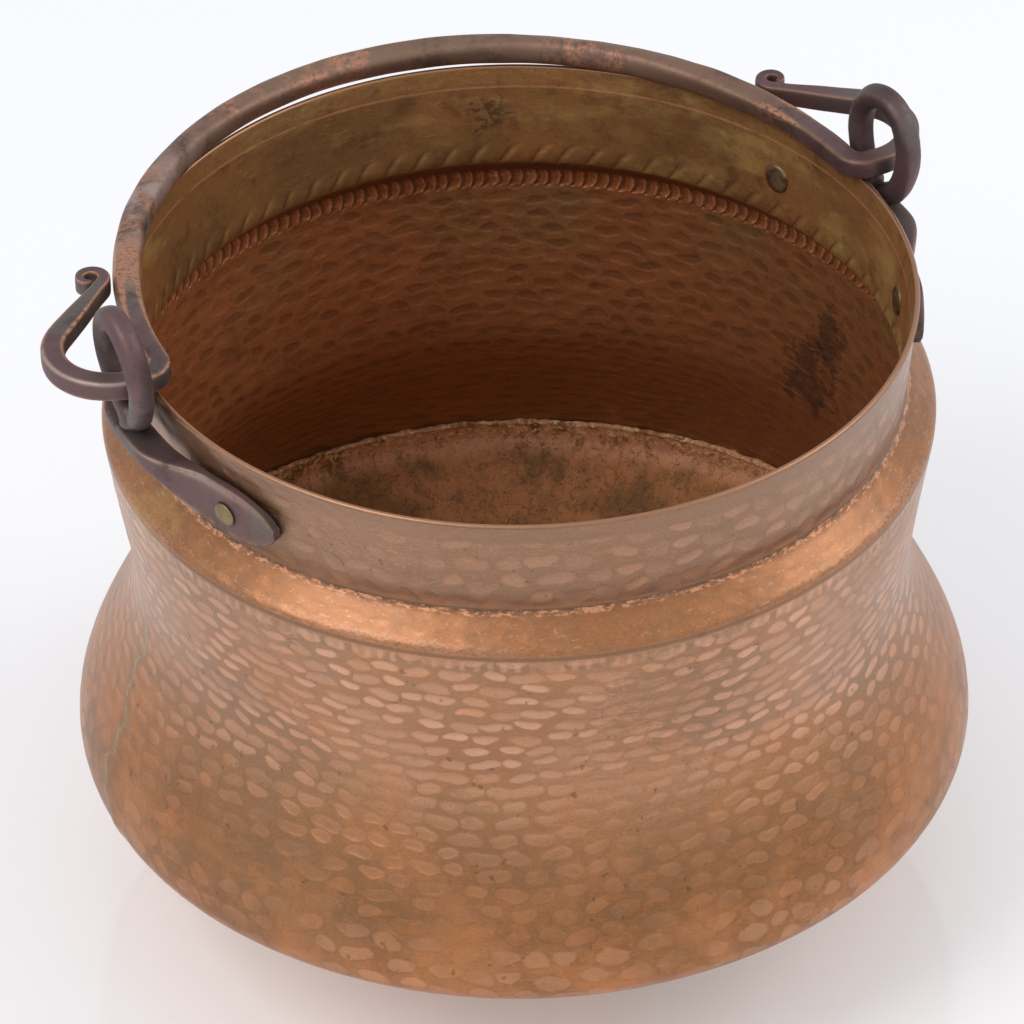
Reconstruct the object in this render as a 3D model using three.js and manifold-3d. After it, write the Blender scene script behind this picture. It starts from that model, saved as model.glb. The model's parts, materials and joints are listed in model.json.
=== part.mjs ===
// Hammered copper cauldron with a forged swing bail, riveted straps and swivel eyes.
// Millimetres, +Z up. The origin is the middle of the flat spot that the pot stands on.
// X runs through the two eyes, and the bail lies back towards +Y, on the rim.

import * as THREE from "three";
import { mergeVertices } from "three/addons/utils/BufferGeometryUtils.js";
import Module from "manifold-3d";

const wasm = await Module();
wasm.setup();

// Vessel, from the bottom up
const sheet = 2.2;
const seatRadius = 40;
const bowlDepth = 76;
const bulgeRound = 12;
const flareHeight = 75;
const flareSwell = 25.8;
const hollowHeight = 67.6;
const hollowDepth = 9.4;
const hollowKnee = 10;
const ledgeDrop = 11.4;
const ledgeWidth = 12.3;
const neckHeight = 41.5;
const neckTaper = 3.1;
const neckFillet = 3;
const lipHeight = 8.5;
const lipFlare = 1.4;
const mouthRadius = 150;

// Edges of the two sheets, thinned where they lap
const lapRise = 6;
const edgeThickness = 1.2;
const thinning = 30;

// Clearances
const brazeGap = 0.3;
const seatGap = 0.35;
const pinGap = 0.3;
const hookPlay = 1.3;
const eyeClearance = 1;
const hookClearance = 4;
const scrollClearance = 1.5;

// Straps: a flat bar under each eye that spreads into a leaf at both ends
const strapHalfLength = 71;
const strapStandoff = 2;
const strapBrim = 0.8;
const strapTip = 5;
const strapChamfer = 0.9;
const barThickness = 6;
const leafThickness = 4;
const leafRise = 1;
const leafMargin = 2;
const lipMargin = 5;
const twistLength = 30;

// Rivets
const rivetOffset = 48.5;
const rivetMargin = 2;
const rivetShank = 5;
const rivetHead = 11;
const rivetHeadHeight = 2.4;
const rivetTail = 12;
const rivetTailHeight = 1.3;

// Eyes: a forged loop on a shoulder, with a tenon that is peened under the strap
const eyeBar = 9.6;
const eyeRise = 28;
const eyePinch = 0.35;
const crotchRoom = 3.6;
const shoulderDiameter = 11;
const shoulderRise = 4;
const shoulderCrown = 2.8;
const tenonDiameter = 6.4;
const tenonPlay = 1.6;
const peenDiameter = 10;
const peenHeight = 2.6;
const peenRound = 1.7;
const leftEyeLean = 6;
const rightEyeTurn = 10;

// Bail: an oval bow with a hook at each end, drawn out to a scroll
const bailBar = 10.4;
const bailOverhang = 4.5;
const hookWidth = 8.6;
const hookHeight = 8.2;
const hookChamfer = 1.2;
const hookBend = 7;
const hookSweep = 22;
const squaredFrom = 80;
const squaredOver = 70;
const tailHeading = 141;
const neckWidth = 5.2;
const scrollRadius = 6;
const scrollCore = 2;
const scrollTurn = 340;
const tipWidth = 2.2;
const tipHeight = 6.4;
const tipChamfer = 0.55;

// Facets
const roundSteps = 56;
const barSides = 8;
const rivetSides = 16;

// Heights and radii that follow from the sizes above
const degree = Math.PI / 180;
const waistHeight = bowlDepth + flareHeight;
const ridgeHeight = waistHeight + hollowHeight;
const neckFoot = ridgeHeight + ledgeDrop;
const potHeight = neckFoot + neckHeight;
const lipFoot = potHeight - lipHeight;
const neckTopRadius = mouthRadius - lipFlare;
const neckFootRadius = neckTopRadius - neckTaper;
const neckSlope = neckTaper / (lipFoot - neckFoot);
const ridgeRadius = neckFootRadius + ledgeWidth;
const waistRadius = ridgeRadius - hollowDepth;
const bulgeRadius = waistRadius + flareSwell;
const bulgeReach = bulgeRadius - bulgeRound;
const hinge = potHeight + seatGap + bailBar / 2;
const eyeX = mouthRadius + eyeClearance + shoulderDiameter / 2;
const strapTop = lipFoot - lipMargin;
const leafTop = strapTop + leafRise;
const leafBottom = neckFoot + neckFillet + leafMargin;
const leafMiddle = (leafTop + leafBottom) / 2;
const bowSpan = eyeX - eyeBar / 2 - hookClearance - hookWidth / 2;
const bowReach = mouthRadius + bailOverhang;
const hookReach = Math.max(
  Math.hypot(hookWidth / 2, hookHeight / 2 - hookChamfer),
  Math.hypot(hookWidth / 2 - hookChamfer, hookHeight / 2));
const eyeKeep = hookReach + hookPlay + eyeBar / 2;
const eyeRoot = hinge - strapTop - tenonPlay - eyeKeep - crotchRoom;

const copper = new THREE.MeshStandardMaterial({ color: 0x8f5532, roughness: 0.42, metalness: 0.9 });
const bowlCopper = new THREE.MeshStandardMaterial({ color: 0x8a4a2a, roughness: 0.45, metalness: 0.9 });
const patina = new THREE.MeshStandardMaterial({ color: 0x4d413e, roughness: 0.5, metalness: 0.75 });
const brass = new THREE.MeshStandardMaterial({ color: 0x706a4c, roughness: 0.5, metalness: 0.8 });

function neckRadiusAt(z) {
  return neckFootRadius + (z - neckFoot) * neckSlope;
}

function smooth(t) {
  const u = Math.min(Math.max(t, 0), 1);
  return u * u * (3 - 2 * u);
}

function mix(a, b, t) {
  return a + (b - a) * t;
}

// Merges the corners of a closed mesh and drops triangles with no area, as at the poles of a lathe.
function weld(geometry) {
  const bare = new THREE.BufferGeometry();
  bare.setAttribute("position", geometry.getAttribute("position"));
  if (geometry.index) bare.setIndex(geometry.index);
  const merged = mergeVertices(bare, 1e-4);
  const corners = Array.from(merged.index.array);
  const kept = [];
  for (let i = 0; i < corners.length; i += 3) {
    const [a, b, c] = corners.slice(i, i + 3);
    if (a !== b && b !== c && c !== a) kept.push(a, b, c);
  }
  merged.setIndex(kept);
  return merged;
}

function toSolid(geometry) {
  const welded = weld(geometry);
  const vertProperties = new Float32Array(welded.getAttribute("position").array);
  const triVerts = new Uint32Array(welded.index.array);
  return new wasm.Manifold(new wasm.Mesh({ numProp: 3, vertProperties, triVerts }));
}

function toGeometry(solid) {
  const mesh = solid.getMesh();
  const geometry = new THREE.BufferGeometry();
  geometry.setAttribute("position", new THREE.BufferAttribute(new Float32Array(mesh.vertProperties), 3));
  geometry.setIndex(Array.from(mesh.triVerts));
  geometry.computeVertexNormals();
  return geometry;
}

// Turns a profile of radius and height points about Z. The points run with the metal on their left.
function revolve(points, steps) {
  const geometry = new THREE.LatheGeometry(points, steps);
  geometry.rotateX(Math.PI / 2);
  return weld(geometry);
}

// Skins a row of rings, each running anticlockwise as seen along the row. An open row is capped.
function loft(rings, closed) {
  const sides = rings[0].length;
  const corners = rings.flat();
  const faces = [];
  const spans = closed ? rings.length : rings.length - 1;
  for (let i = 0; i < spans; i += 1) {
    const near = i * sides;
    const far = ((i + 1) % rings.length) * sides;
    for (let j = 0; j < sides; j += 1) {
      const k = (j + 1) % sides;
      faces.push(near + j, far + k, near + k, near + j, far + j, far + k);
    }
  }
  if (!closed) {
    const last = (rings.length - 1) * sides;
    for (let j = 1; j < sides - 1; j += 1) {
      faces.push(0, j, j + 1);
      faces.push(last, last + j + 1, last + j);
    }
  }
  const geometry = new THREE.BufferGeometry().setFromPoints(corners);
  geometry.setIndex(faces);
  geometry.computeVertexNormals();
  return geometry;
}

// Moves a profile sideways by a distance that may change along it, with mitred corners.
function offset(points, distanceAt) {
  return points.map((point, i) => {
    const before = points[Math.max(i - 1, 0)];
    const after = points[Math.min(i + 1, points.length - 1)];
    const into = point.clone().sub(before).normalize();
    const out = after.clone().sub(point).normalize();
    const first = into.lengthSq() > 0 ? into : out;
    const second = out.lengthSq() > 0 ? out : into;
    const along = first.clone().add(second).normalize();
    const side = new THREE.Vector2(along.y, -along.x);
    return point.clone().addScaledVector(side, distanceAt(point) / along.dot(first));
  });
}

function arc(centreX, centreY, radius, from, to, steps) {
  const curve = new THREE.EllipseCurve(centreX, centreY, radius, radius, from, to, to < from);
  return curve.getPoints(steps);
}

// The sphere of the bowl passes the edge of the flat seat and touches the round of the bulge.
function bowlSphere(round) {
  const half = (bulgeReach ** 2 + bowlDepth ** 2 - seatRadius ** 2 - round ** 2) / 2;
  const square = bowlDepth ** 2 - round ** 2;
  const root = (bowlDepth * half) ** 2 - square * (half ** 2 - (round * seatRadius) ** 2);
  const centre = (bowlDepth * half + Math.sqrt(root)) / square;
  return { centre, radius: Math.hypot(seatRadius, centre) };
}

// The wall below the waist swings out to the bulge, upright at both ends.
function flareRadiusAt(z) {
  return mix(bulgeRadius, waistRadius, smooth((z - bowlDepth) / flareHeight));
}

function flare(steps) {
  const points = [];
  for (let i = 0; i <= steps; i += 1) {
    const z = mix(waistHeight, bowlDepth, i / steps);
    points.push(new THREE.Vector2(flareRadiusAt(z), z));
  }
  return points;
}

// Outside of the body sheet, from the edge that is tucked under the bulge up to the mouth.
function shellOutside() {
  const sphere = bowlSphere(bulgeRound - sheet - brazeGap);
  const tuck = Math.atan2(bowlDepth - sphere.centre, bulgeReach);
  const ridge = new THREE.Vector2(ridgeRadius, ridgeHeight);
  const foot = new THREE.Vector2(neckFootRadius, neckFoot);
  const overNeck = new THREE.Vector2(neckRadiusAt(neckFoot + neckFillet), neckFoot + neckFillet);
  const onLedge = foot.clone().lerp(ridge, neckFillet / foot.distanceTo(ridge));
  const knee = new THREE.Vector2(waistRadius, waistHeight + hollowKnee);
  const waist = new THREE.Vector2(waistRadius, waistHeight);
  const filletSteps = 3;
  const hollowSteps = 5;
  const flareSteps = 8;
  const tuckSteps = 4;
  const downwards = [
    new THREE.Vector2(mouthRadius, potHeight),
    new THREE.Vector2(neckTopRadius, lipFoot),
    ...new THREE.QuadraticBezierCurve(overNeck, foot, onLedge).getPoints(filletSteps),
    ...new THREE.QuadraticBezierCurve(ridge, knee, waist).getPoints(hollowSteps),
    ...flare(flareSteps).slice(1),
    ...arc(bulgeReach, bowlDepth, bulgeRound, 0, tuck, tuckSteps).slice(1),
  ];
  return downwards.reverse();
}

// Sheet thickness near an edge at the given height: it thins towards the edge.
function thinned(z, edge) {
  return mix(edgeThickness, sheet, smooth(Math.abs(z - edge) / thinning));
}

function closeProfile(outside, inside) {
  return [...outside, ...inside.reverse(), outside[0].clone()];
}

function rivetPlaces() {
  const places = [];
  for (const side of [0, 1]) {
    for (const end of [-1, 1]) {
      const label = side === 0 ? "right" : "left";
      const where = end === (side === 0 ? -1 : 1) ? "front" : "back";
      const angle = side * Math.PI + end * rivetOffset / neckRadiusAt(leafMiddle);
      places.push({ name: `rivet_${label}_${where}`, angle });
    }
  }
  return places;
}

// Sets an object on the neck's outer face, its own Z pointing square out of the sheet.
function placeOnNeck(object, angle) {
  const out = new THREE.Vector3(Math.cos(angle), Math.sin(angle), -neckSlope).normalize();
  const radius = neckRadiusAt(leafMiddle);
  object.position.set(radius * Math.cos(angle), radius * Math.sin(angle), leafMiddle);
  object.quaternion.setFromUnitVectors(new THREE.Vector3(0, 0, 1), out);
  object.updateMatrix();
  return object;
}

function rivetHole(angle) {
  const length = 2 * (sheet + leafThickness) + rivetHead;
  const radius = rivetShank / 2 + pinGap;
  const drill = new THREE.CylinderGeometry(radius, radius, length, rivetSides);
  drill.rotateX(Math.PI / 2);
  const holder = placeOnNeck(new THREE.Object3D(), angle);
  drill.applyMatrix4(holder.matrix);
  return toSolid(drill);
}

function bodyShell() {
  const outside = shellOutside();
  const inside = offset(outside, (point) => -thinned(point.y, outside[0].y));
  inside[inside.length - 1].y = potHeight;
  let solid = toSolid(revolve(closeProfile(outside, inside), roundSteps));
  for (const place of rivetPlaces()) solid = solid.subtract(rivetHole(place.angle));
  return new THREE.Mesh(toGeometry(solid), copper);
}

// The bottom is a raised bowl. Its edge stands up inside the wall and is brazed to it.
function bottomBowl() {
  const round = bulgeRound - sheet - brazeGap;
  const sphere = bowlSphere(round);
  const touch = Math.atan2(bowlDepth - sphere.centre, bulgeReach);
  const start = Math.atan2(-sphere.centre, seatRadius);
  const bowlSteps = 7;
  const turnSteps = 3;
  const lipSteps = 2;
  const outside = [
    ...arc(0, sphere.centre, sphere.radius, start, touch, bowlSteps),
    ...arc(bulgeReach, bowlDepth, round, touch, 0, turnSteps).slice(1),
  ];
  for (let i = 1; i <= lipSteps; i += 1) {
    const z = bowlDepth + lapRise * i / lipSteps;
    outside.push(new THREE.Vector2(flareRadiusAt(z) - sheet - 2 * brazeGap * i / lipSteps, z));
  }
  const inside = offset(outside, (point) => -thinned(point.y, bowlDepth + lapRise));
  inside[0].y = sheet;
  const profile = [
    new THREE.Vector2(0, 0),
    ...outside,
    ...inside.reverse(),
    new THREE.Vector2(0, sheet),
  ];
  return new THREE.Mesh(revolve(profile, roundSteps), bowlCopper);
}

// One strap, centred on +X: the section changes from a flat bar into an upright leaf on the neck.
function strapGeometry() {
  const stations = 26;
  const rings = [];
  for (let i = 0; i <= stations; i += 1) {
    const sweep = Math.sin((i / stations - 0.5) * Math.PI);
    const along = sweep * strapHalfLength;
    const angle = along / neckRadiusAt(leafMiddle);
    const fromTip = strapHalfLength - Math.abs(along);
    const tipSpan = strapHalfLength - rivetOffset;
    const leafEnd = tipSpan + rivetHead / 2 + rivetMargin;
    const spread = smooth((leafEnd + twistLength - fromTip) / twistLength);
    const beyond = Math.max(1 - fromTip / tipSpan, 0);
    const full = mix(barThickness, leafTop - leafBottom, spread);
    const height = Math.max(full * Math.sqrt(1 - beyond ** 2), strapTip);
    const middle = mix(strapTop - barThickness / 2, leafMiddle, spread);
    const gap = mix(strapStandoff, seatGap, spread);
    const barInner = neckRadiusAt(middle) + strapStandoff;
    const barOuter = eyeX + shoulderDiameter / 2 + strapBrim;
    const thickness = mix(barOuter - barInner, leafThickness, spread);
    rings.push(strapRing(angle, middle, height, gap, thickness));
  }
  return loft(rings, false);
}

function strapRing(angle, middle, height, gap, thickness) {
  const low = -height / 2;
  const high = height / 2;
  const cut = Math.min(strapChamfer, height / 4, thickness / 4);
  const corners = [
    [0, low + cut], [cut, low], [thickness - cut, low], [thickness, low + cut],
    [thickness, high - cut], [thickness - cut, high], [cut, high], [0, high - cut],
  ];
  return corners.map(([depth, rise]) => {
    const z = middle + rise;
    const radius = neckRadiusAt(z) + gap + depth;
    return new THREE.Vector3(radius * Math.cos(angle), radius * Math.sin(angle), z);
  });
}

function strap(side) {
  let solid = toSolid(strapGeometry());
  const lean = rivetOffset / neckRadiusAt(leafMiddle);
  for (const angle of [-lean, lean]) solid = solid.subtract(rivetHole(angle));
  const hole = new THREE.CylinderGeometry(
    tenonDiameter / 2 + pinGap, tenonDiameter / 2 + pinGap, 4 * barThickness, rivetSides);
  hole.rotateX(Math.PI / 2);
  hole.translate(eyeX, 0, strapTop);
  solid = solid.subtract(toSolid(hole));
  const mesh = new THREE.Mesh(toGeometry(solid), patina);
  mesh.rotation.z = side * Math.PI;
  return mesh;
}

// Domed head outside the leaf, shank through leaf and sheet, flat tail inside the neck.
function rivet(angle) {
  const inner = -sheet - seatGap;
  const outer = 2 * seatGap + leafThickness;
  const headRadius = rivetHead / 2;
  const dome = (headRadius ** 2 + rivetHeadHeight ** 2) / (2 * rivetHeadHeight);
  const domeCentre = outer + rivetHeadHeight - dome;
  const rimAngle = Math.asin((outer - domeCentre) / dome);
  const domeSteps = 3;
  const profile = [
    new THREE.Vector2(0, inner - rivetTailHeight),
    new THREE.Vector2(rivetTail / 2 - rivetTailHeight / 2, inner - rivetTailHeight),
    new THREE.Vector2(rivetTail / 2, inner - rivetTailHeight / 2),
    new THREE.Vector2(rivetTail / 2, inner),
    new THREE.Vector2(rivetShank / 2, inner),
    new THREE.Vector2(rivetShank / 2, outer),
    ...arc(0, domeCentre, dome, rimAngle, Math.PI / 2, domeSteps),
  ];
  profile[profile.length - 1].x = 0;
  return placeOnNeck(new THREE.Mesh(revolve(profile, rivetSides), brass), angle);
}

// Middle of the eye's bar, over a turn that starts at its root: an oval that narrows to the root.
function loopPoint(width, turn) {
  const half = (hinge + eyeRise - strapTop - eyeRoot) / 2;
  const narrowing = Math.sin(turn / 2) ** eyePinch;
  return new THREE.Vector2(-width * Math.sin(turn) * narrowing, half - half * Math.cos(turn));
}

// The loop is as wide as the hook needs to turn in it, also where the eye is lifted.
function loopWidth() {
  const hook = new THREE.Vector2(0, hinge - strapTop - tenonPlay - eyeRoot);
  const samples = 60;
  const halvings = 40;
  let narrow = 0;
  let wide = bowSpan;
  for (let i = 0; i < halvings; i += 1) {
    const width = (narrow + wide) / 2;
    let nearest = Infinity;
    for (let j = 0; j <= samples; j += 1) {
      nearest = Math.min(nearest, loopPoint(width, j / samples * Math.PI).distanceTo(hook));
    }
    if (nearest < eyeKeep) narrow = width;
    else wide = width;
  }
  return wide;
}

// The loop stands in the plane x = 0 with its root at z = 0.
function eyeLoop() {
  const width = loopWidth();
  const steps = 28;
  const near = 0.01;
  const rings = [];
  for (let i = 0; i < steps; i += 1) {
    const turn = (i + 0.5) / steps * 2 * Math.PI;
    const along = loopPoint(width, turn + near).sub(loopPoint(width, turn - near)).normalize();
    rings.push(barRing(loopPoint(width, turn), new THREE.Vector2(along.y, -along.x)));
  }
  return loft(rings, true);
}

function barRing(centre, side) {
  const ring = [];
  for (let j = 0; j < barSides; j += 1) {
    const angle = (j + 0.5) / barSides * 2 * Math.PI;
    const across = Math.cos(angle) * eyeBar / 2;
    const depth = Math.sin(angle) * eyeBar / 2;
    ring.push(new THREE.Vector3(depth, centre.x + side.x * across, centre.y + side.y * across));
  }
  return ring;
}

// Eye on its tenon. Its own origin is on the strap's top face, and it is turned about Z there.
function eye(side, lean, turn, lift) {
  const foot = seatGap;
  const under = -barThickness - seatGap - tenonPlay;
  const shoulder = shoulderDiameter / 2;
  const shank = toSolid(revolve([
    new THREE.Vector2(0, under - peenHeight),
    new THREE.Vector2(peenDiameter / 2 - peenRound, under - peenHeight),
    new THREE.Vector2(peenDiameter / 2, under - peenHeight + peenRound),
    new THREE.Vector2(peenDiameter / 2, under),
    new THREE.Vector2(tenonDiameter / 2, under),
    new THREE.Vector2(tenonDiameter / 2, foot),
    new THREE.Vector2(shoulder, foot),
    new THREE.Vector2(shoulder, eyeRoot + shoulderRise),
    new THREE.Vector2(0, eyeRoot + shoulderRise + shoulderCrown),
  ], rivetSides));
  const loop = eyeLoop();
  loop.translate(0, 0, eyeRoot);
  loop.rotateY(lean * degree);
  const cutSize = 4 * eyeBar;
  const below = new THREE.BoxGeometry(cutSize, cutSize, cutSize);
  below.translate(0, 0, foot - cutSize / 2);
  const solid = toSolid(loop).subtract(toSolid(below)).add(shank);
  const mesh = new THREE.Mesh(toGeometry(solid), patina);
  mesh.position.set(eyeX * Math.cos(side * Math.PI), 0, strapTop + lift);
  mesh.rotation.z = side * Math.PI + turn * degree;
  return mesh;
}

// Half of the bail in the plane of the bow, from the middle of the bow to the tip of the scroll.
function bailStations() {
  const stations = [];
  const add = (x, y, width, height, chamfer) => stations.push({ x, y, width, height, chamfer });
  const octagon = bailBar * (1 - Math.SQRT1_2);
  const bowEnd = Math.acos(hookBend / bowReach);
  const bowSteps = 20;
  const bendSteps = 5;
  const sweepSteps = 11;
  const tailSteps = 4;
  for (let i = 0; i <= bowSteps; i += 1) {
    const turn = bowEnd * i / bowSteps;
    const left = (bowEnd - turn) * (bowSpan + bowReach) / 2;
    const flat = smooth((squaredFrom - left) / squaredOver);
    add(bowSpan * Math.sin(turn), bowReach * Math.cos(turn), mix(bailBar, hookWidth, flat),
      mix(bailBar, hookHeight, flat), mix(octagon, hookChamfer, flat));
  }
  const bendX = stations[stations.length - 1].x + hookBend;
  for (const point of arc(bendX, hookBend, hookBend, Math.PI, 1.5 * Math.PI, bendSteps).slice(1)) {
    add(point.x, point.y, hookWidth, hookHeight, hookChamfer);
  }
  const sweepX = bendX + hookWidth / 2;
  const tailTurn = tailHeading * degree - Math.PI / 2;
  const sweep = arc(sweepX, hookSweep, hookSweep, -Math.PI / 2, tailTurn, sweepSteps);
  for (const point of sweep) add(point.x, point.y, hookWidth, hookHeight, hookChamfer);
  const start = sweep[sweep.length - 1];
  const length = tailLength(start);
  for (let i = 1; i <= tailSteps; i += 1) {
    const t = i / tailSteps;
    add(start.x + Math.cos(tailHeading * degree) * length * t,
      start.y + Math.sin(tailHeading * degree) * length * t,
      mix(hookWidth, neckWidth, smooth(t)), hookHeight, mix(hookChamfer, tipChamfer, t));
  }
  return addScroll(stations);
}

// The tail runs on until its scroll comes close to the bow.
function tailLength(start) {
  const heading = tailHeading * degree;
  const inset = scrollRadius * (1 - Math.sin(heading)) + neckWidth / 2;
  const halvings = 40;
  let short = 0;
  let long = bowReach;
  for (let i = 0; i < halvings; i += 1) {
    const middle = (short + long) / 2;
    const y = start.y + Math.sin(heading) * middle + scrollRadius * Math.abs(Math.cos(heading));
    const left = start.x + Math.cos(heading) * middle - inset;
    const bow = bowSpan * Math.sqrt(Math.max(1 - (y / bowReach) ** 2, 0));
    if (left > bow + bailBar / 2 + scrollClearance) short = middle;
    else long = middle;
  }
  return short;
}

// The end curls the other way, its radius falling evenly from the outside turn to the core.
function addScroll(stations) {
  const steps = 20;
  const turn = scrollTurn * degree;
  const first = stations[stations.length - 1];
  let { x, y } = first;
  let heading = tailHeading * degree;
  for (let i = 1; i <= steps; i += 1) {
    const t = i / steps;
    const radius = mix(scrollRadius, scrollCore, t);
    const bend = turn / steps;
    heading -= bend / 2;
    x += Math.cos(heading) * radius * bend;
    y += Math.sin(heading) * radius * bend;
    heading -= bend / 2;
    const width = mix(first.width, tipWidth, t);
    stations.push({ x, y, width, height: mix(hookHeight, tipHeight, t), chamfer: tipChamfer });
  }
  return stations;
}

function bail() {
  const right = bailStations();
  const left = right.slice(1).reverse().map((station) => ({ ...station, x: -station.x }));
  const stations = [...left, ...right];
  const rings = stations.map((station, i) => {
    const before = stations[Math.max(i - 1, 0)];
    const after = stations[Math.min(i + 1, stations.length - 1)];
    const along = new THREE.Vector2(after.x - before.x, after.y - before.y).normalize();
    return bailRing(station, new THREE.Vector2(along.y, -along.x));
  });
  const mesh = new THREE.Mesh(loft(rings, false), patina);
  mesh.position.z = hinge;
  return mesh;
}

function bailRing(station, side) {
  const w = station.width / 2;
  const h = station.height / 2;
  const c = station.chamfer;
  const corners = [
    [w, c - h], [w, h - c], [w - c, h], [c - w, h], [-w, h - c], [-w, c - h], [c - w, -h], [w - c, -h],
  ];
  return corners.map(([across, rise]) => new THREE.Vector3(
    station.x + side.x * across, station.y + side.y * across, rise));
}

const cauldron = new THREE.Group();

function put(name, mesh) {
  mesh.name = name;
  cauldron.add(mesh);
}

put("body_shell", bodyShell());
put("bottom_bowl", bottomBowl());
put("strap_right", strap(0));
put("strap_left", strap(1));
for (const place of rivetPlaces()) put(place.name, rivet(place.angle));
put("eye_right", eye(0, 0, rightEyeTurn, 0));
put("eye_left", eye(1, leftEyeLean, 0, tenonPlay));
put("bail", bail());

export default cauldron;
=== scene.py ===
"""Looks of a hammered copper cauldron with a forged bail, laid out as a Blender add-on.

Metres, in the frame of the packed part: +Z up, X through the two eyes, the bail lies back towards +Y.
"""

import json
import math

import bmesh
import bpy
import numpy as np
from bpy.props import FloatProperty, FloatVectorProperty, IntProperty, PointerProperty
from mathutils import Matrix, Vector, noise


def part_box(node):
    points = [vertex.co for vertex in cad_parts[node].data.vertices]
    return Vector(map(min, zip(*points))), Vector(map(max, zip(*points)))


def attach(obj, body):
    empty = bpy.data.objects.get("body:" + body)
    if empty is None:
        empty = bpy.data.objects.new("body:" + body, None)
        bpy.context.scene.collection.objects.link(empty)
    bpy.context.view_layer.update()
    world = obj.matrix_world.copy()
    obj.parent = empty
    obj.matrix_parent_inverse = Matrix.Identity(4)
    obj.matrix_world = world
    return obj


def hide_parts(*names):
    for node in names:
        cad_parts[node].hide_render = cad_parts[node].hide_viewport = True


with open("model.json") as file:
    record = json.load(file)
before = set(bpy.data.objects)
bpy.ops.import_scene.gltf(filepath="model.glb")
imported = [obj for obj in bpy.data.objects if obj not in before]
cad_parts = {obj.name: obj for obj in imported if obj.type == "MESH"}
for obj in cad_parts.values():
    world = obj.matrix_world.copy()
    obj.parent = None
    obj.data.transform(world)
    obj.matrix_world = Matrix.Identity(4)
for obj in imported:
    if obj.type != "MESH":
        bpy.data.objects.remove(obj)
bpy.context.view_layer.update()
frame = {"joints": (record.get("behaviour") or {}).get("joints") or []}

bl_info = {
    "name": "Hammered copper cauldron",
    "version": (1, 0, 0),
    "blender": (4, 5, 0),
    "location": "3D View > Sidebar > Cauldron",
    "description": "Dresses the packed cauldron: hammered copper, forged bail, straps, eyes and rivets",
    "category": "Object",
}

# Places taken from the packed part
joints = {joint["name"]: joint for joint in frame["joints"]}
hinge_height = joints["bail_swing"]["pos_m"][2]
eye_reach = joints["eye_right_swivel"]["pos_m"][0]
strap_top = joints["eye_right_swivel"]["pos_m"][2]
shell_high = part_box("body_shell")[1]
eye_low, eye_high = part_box("eye_left")
SIDES = {"right": 0.0, "left": math.pi}


# Properties

def length(name, description, default):
    return FloatProperty(name=name, description=description, default=default, unit="LENGTH", precision=5)


def turn(name, description, degrees):
    return FloatProperty(name=name, description=description, default=math.radians(degrees), subtype="ANGLE")


def amount(name, description, default):
    return FloatProperty(name=name, description=description, default=default)


def power(name, description, default):
    return FloatProperty(name=name, description=description, default=default, unit="POWER")


def place(name, description, default):
    return FloatVectorProperty(name=name, description=description, default=default, unit="LENGTH")


def count(name, description, default):
    return IntProperty(name=name, description=description, default=default)


def colour(name, description, default):
    return FloatVectorProperty(
        name=name, description=description, default=default, size=3, min=0.0, max=1.0, subtype="COLOR")


class CAULDRON_PG_pot(bpy.types.PropertyGroup):
    """Sizes of the vessel."""
    sheet: length("Sheet", "Thickness of the copper sheet", 0.0022)
    edge: length("Edge", "Thickness of the sheets where they lap", 0.0012)
    thinning: length("Thinning", "Height over which a sheet thins towards its edge", 0.03)
    braze_gap: length("Braze gap", "Gap between wall and bottom where they lap", 0.0003)
    lap: length("Lap", "Height of the bottom's edge above the bulge", 0.006)
    seat_radius: length("Seat radius", "Radius of the flat spot that the pot stands on", 0.04)
    bulge_height: length("Bulge height", "Height of the widest place", 0.076)
    bulge_radius: length("Bulge radius", "Outside radius of the widest place", shell_high.x)
    bulge_round: length("Bulge round", "Radius of the turn under the bulge", 0.012)
    waist_height: length("Waist height", "Height of the narrowest place of the wall", 0.151)
    waist_radius: length("Waist radius", "Outside radius of the narrowest place", 0.1484)
    knee: length("Knee", "How far the wall stays upright above the waist", 0.01)
    ridge_height: length("Ridge height", "Height of the shoulder's outer edge", 0.2186)
    ridge_radius: length("Ridge radius", "Radius of the shoulder's outer edge", 0.1578)
    ridge_round: length("Ridge round", "Reach of the rounding on the shoulder's edge", 0.0022)
    foot_height: length("Foot height", "Height of the groove between shoulder and neck", 0.23)
    foot_radius: length("Foot radius", "Radius of the groove between shoulder and neck", 0.1455)
    foot_round: length("Foot round", "Reach of the rounding in the groove", 0.0026)
    lip_height: length("Lip height", "Height where the smooth lip begins", 0.263)
    lip_radius: length("Lip radius", "Radius where the smooth lip begins", 0.1486)
    lip_round: length("Lip round", "Reach of the rounding at the start of the lip", 0.0012)
    mouth_radius: length("Mouth radius", "Outside radius of the mouth", 0.15)
    rim_height: length("Rim height", "Height of the rim", shell_high.z)
    wave: length("Wave", "How far the beaten sheet strays from a true round", 0.0004)
    oval: length("Oval", "How far the mouth is pressed in at the eyes and pushed out between them", 0.0012)


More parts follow.
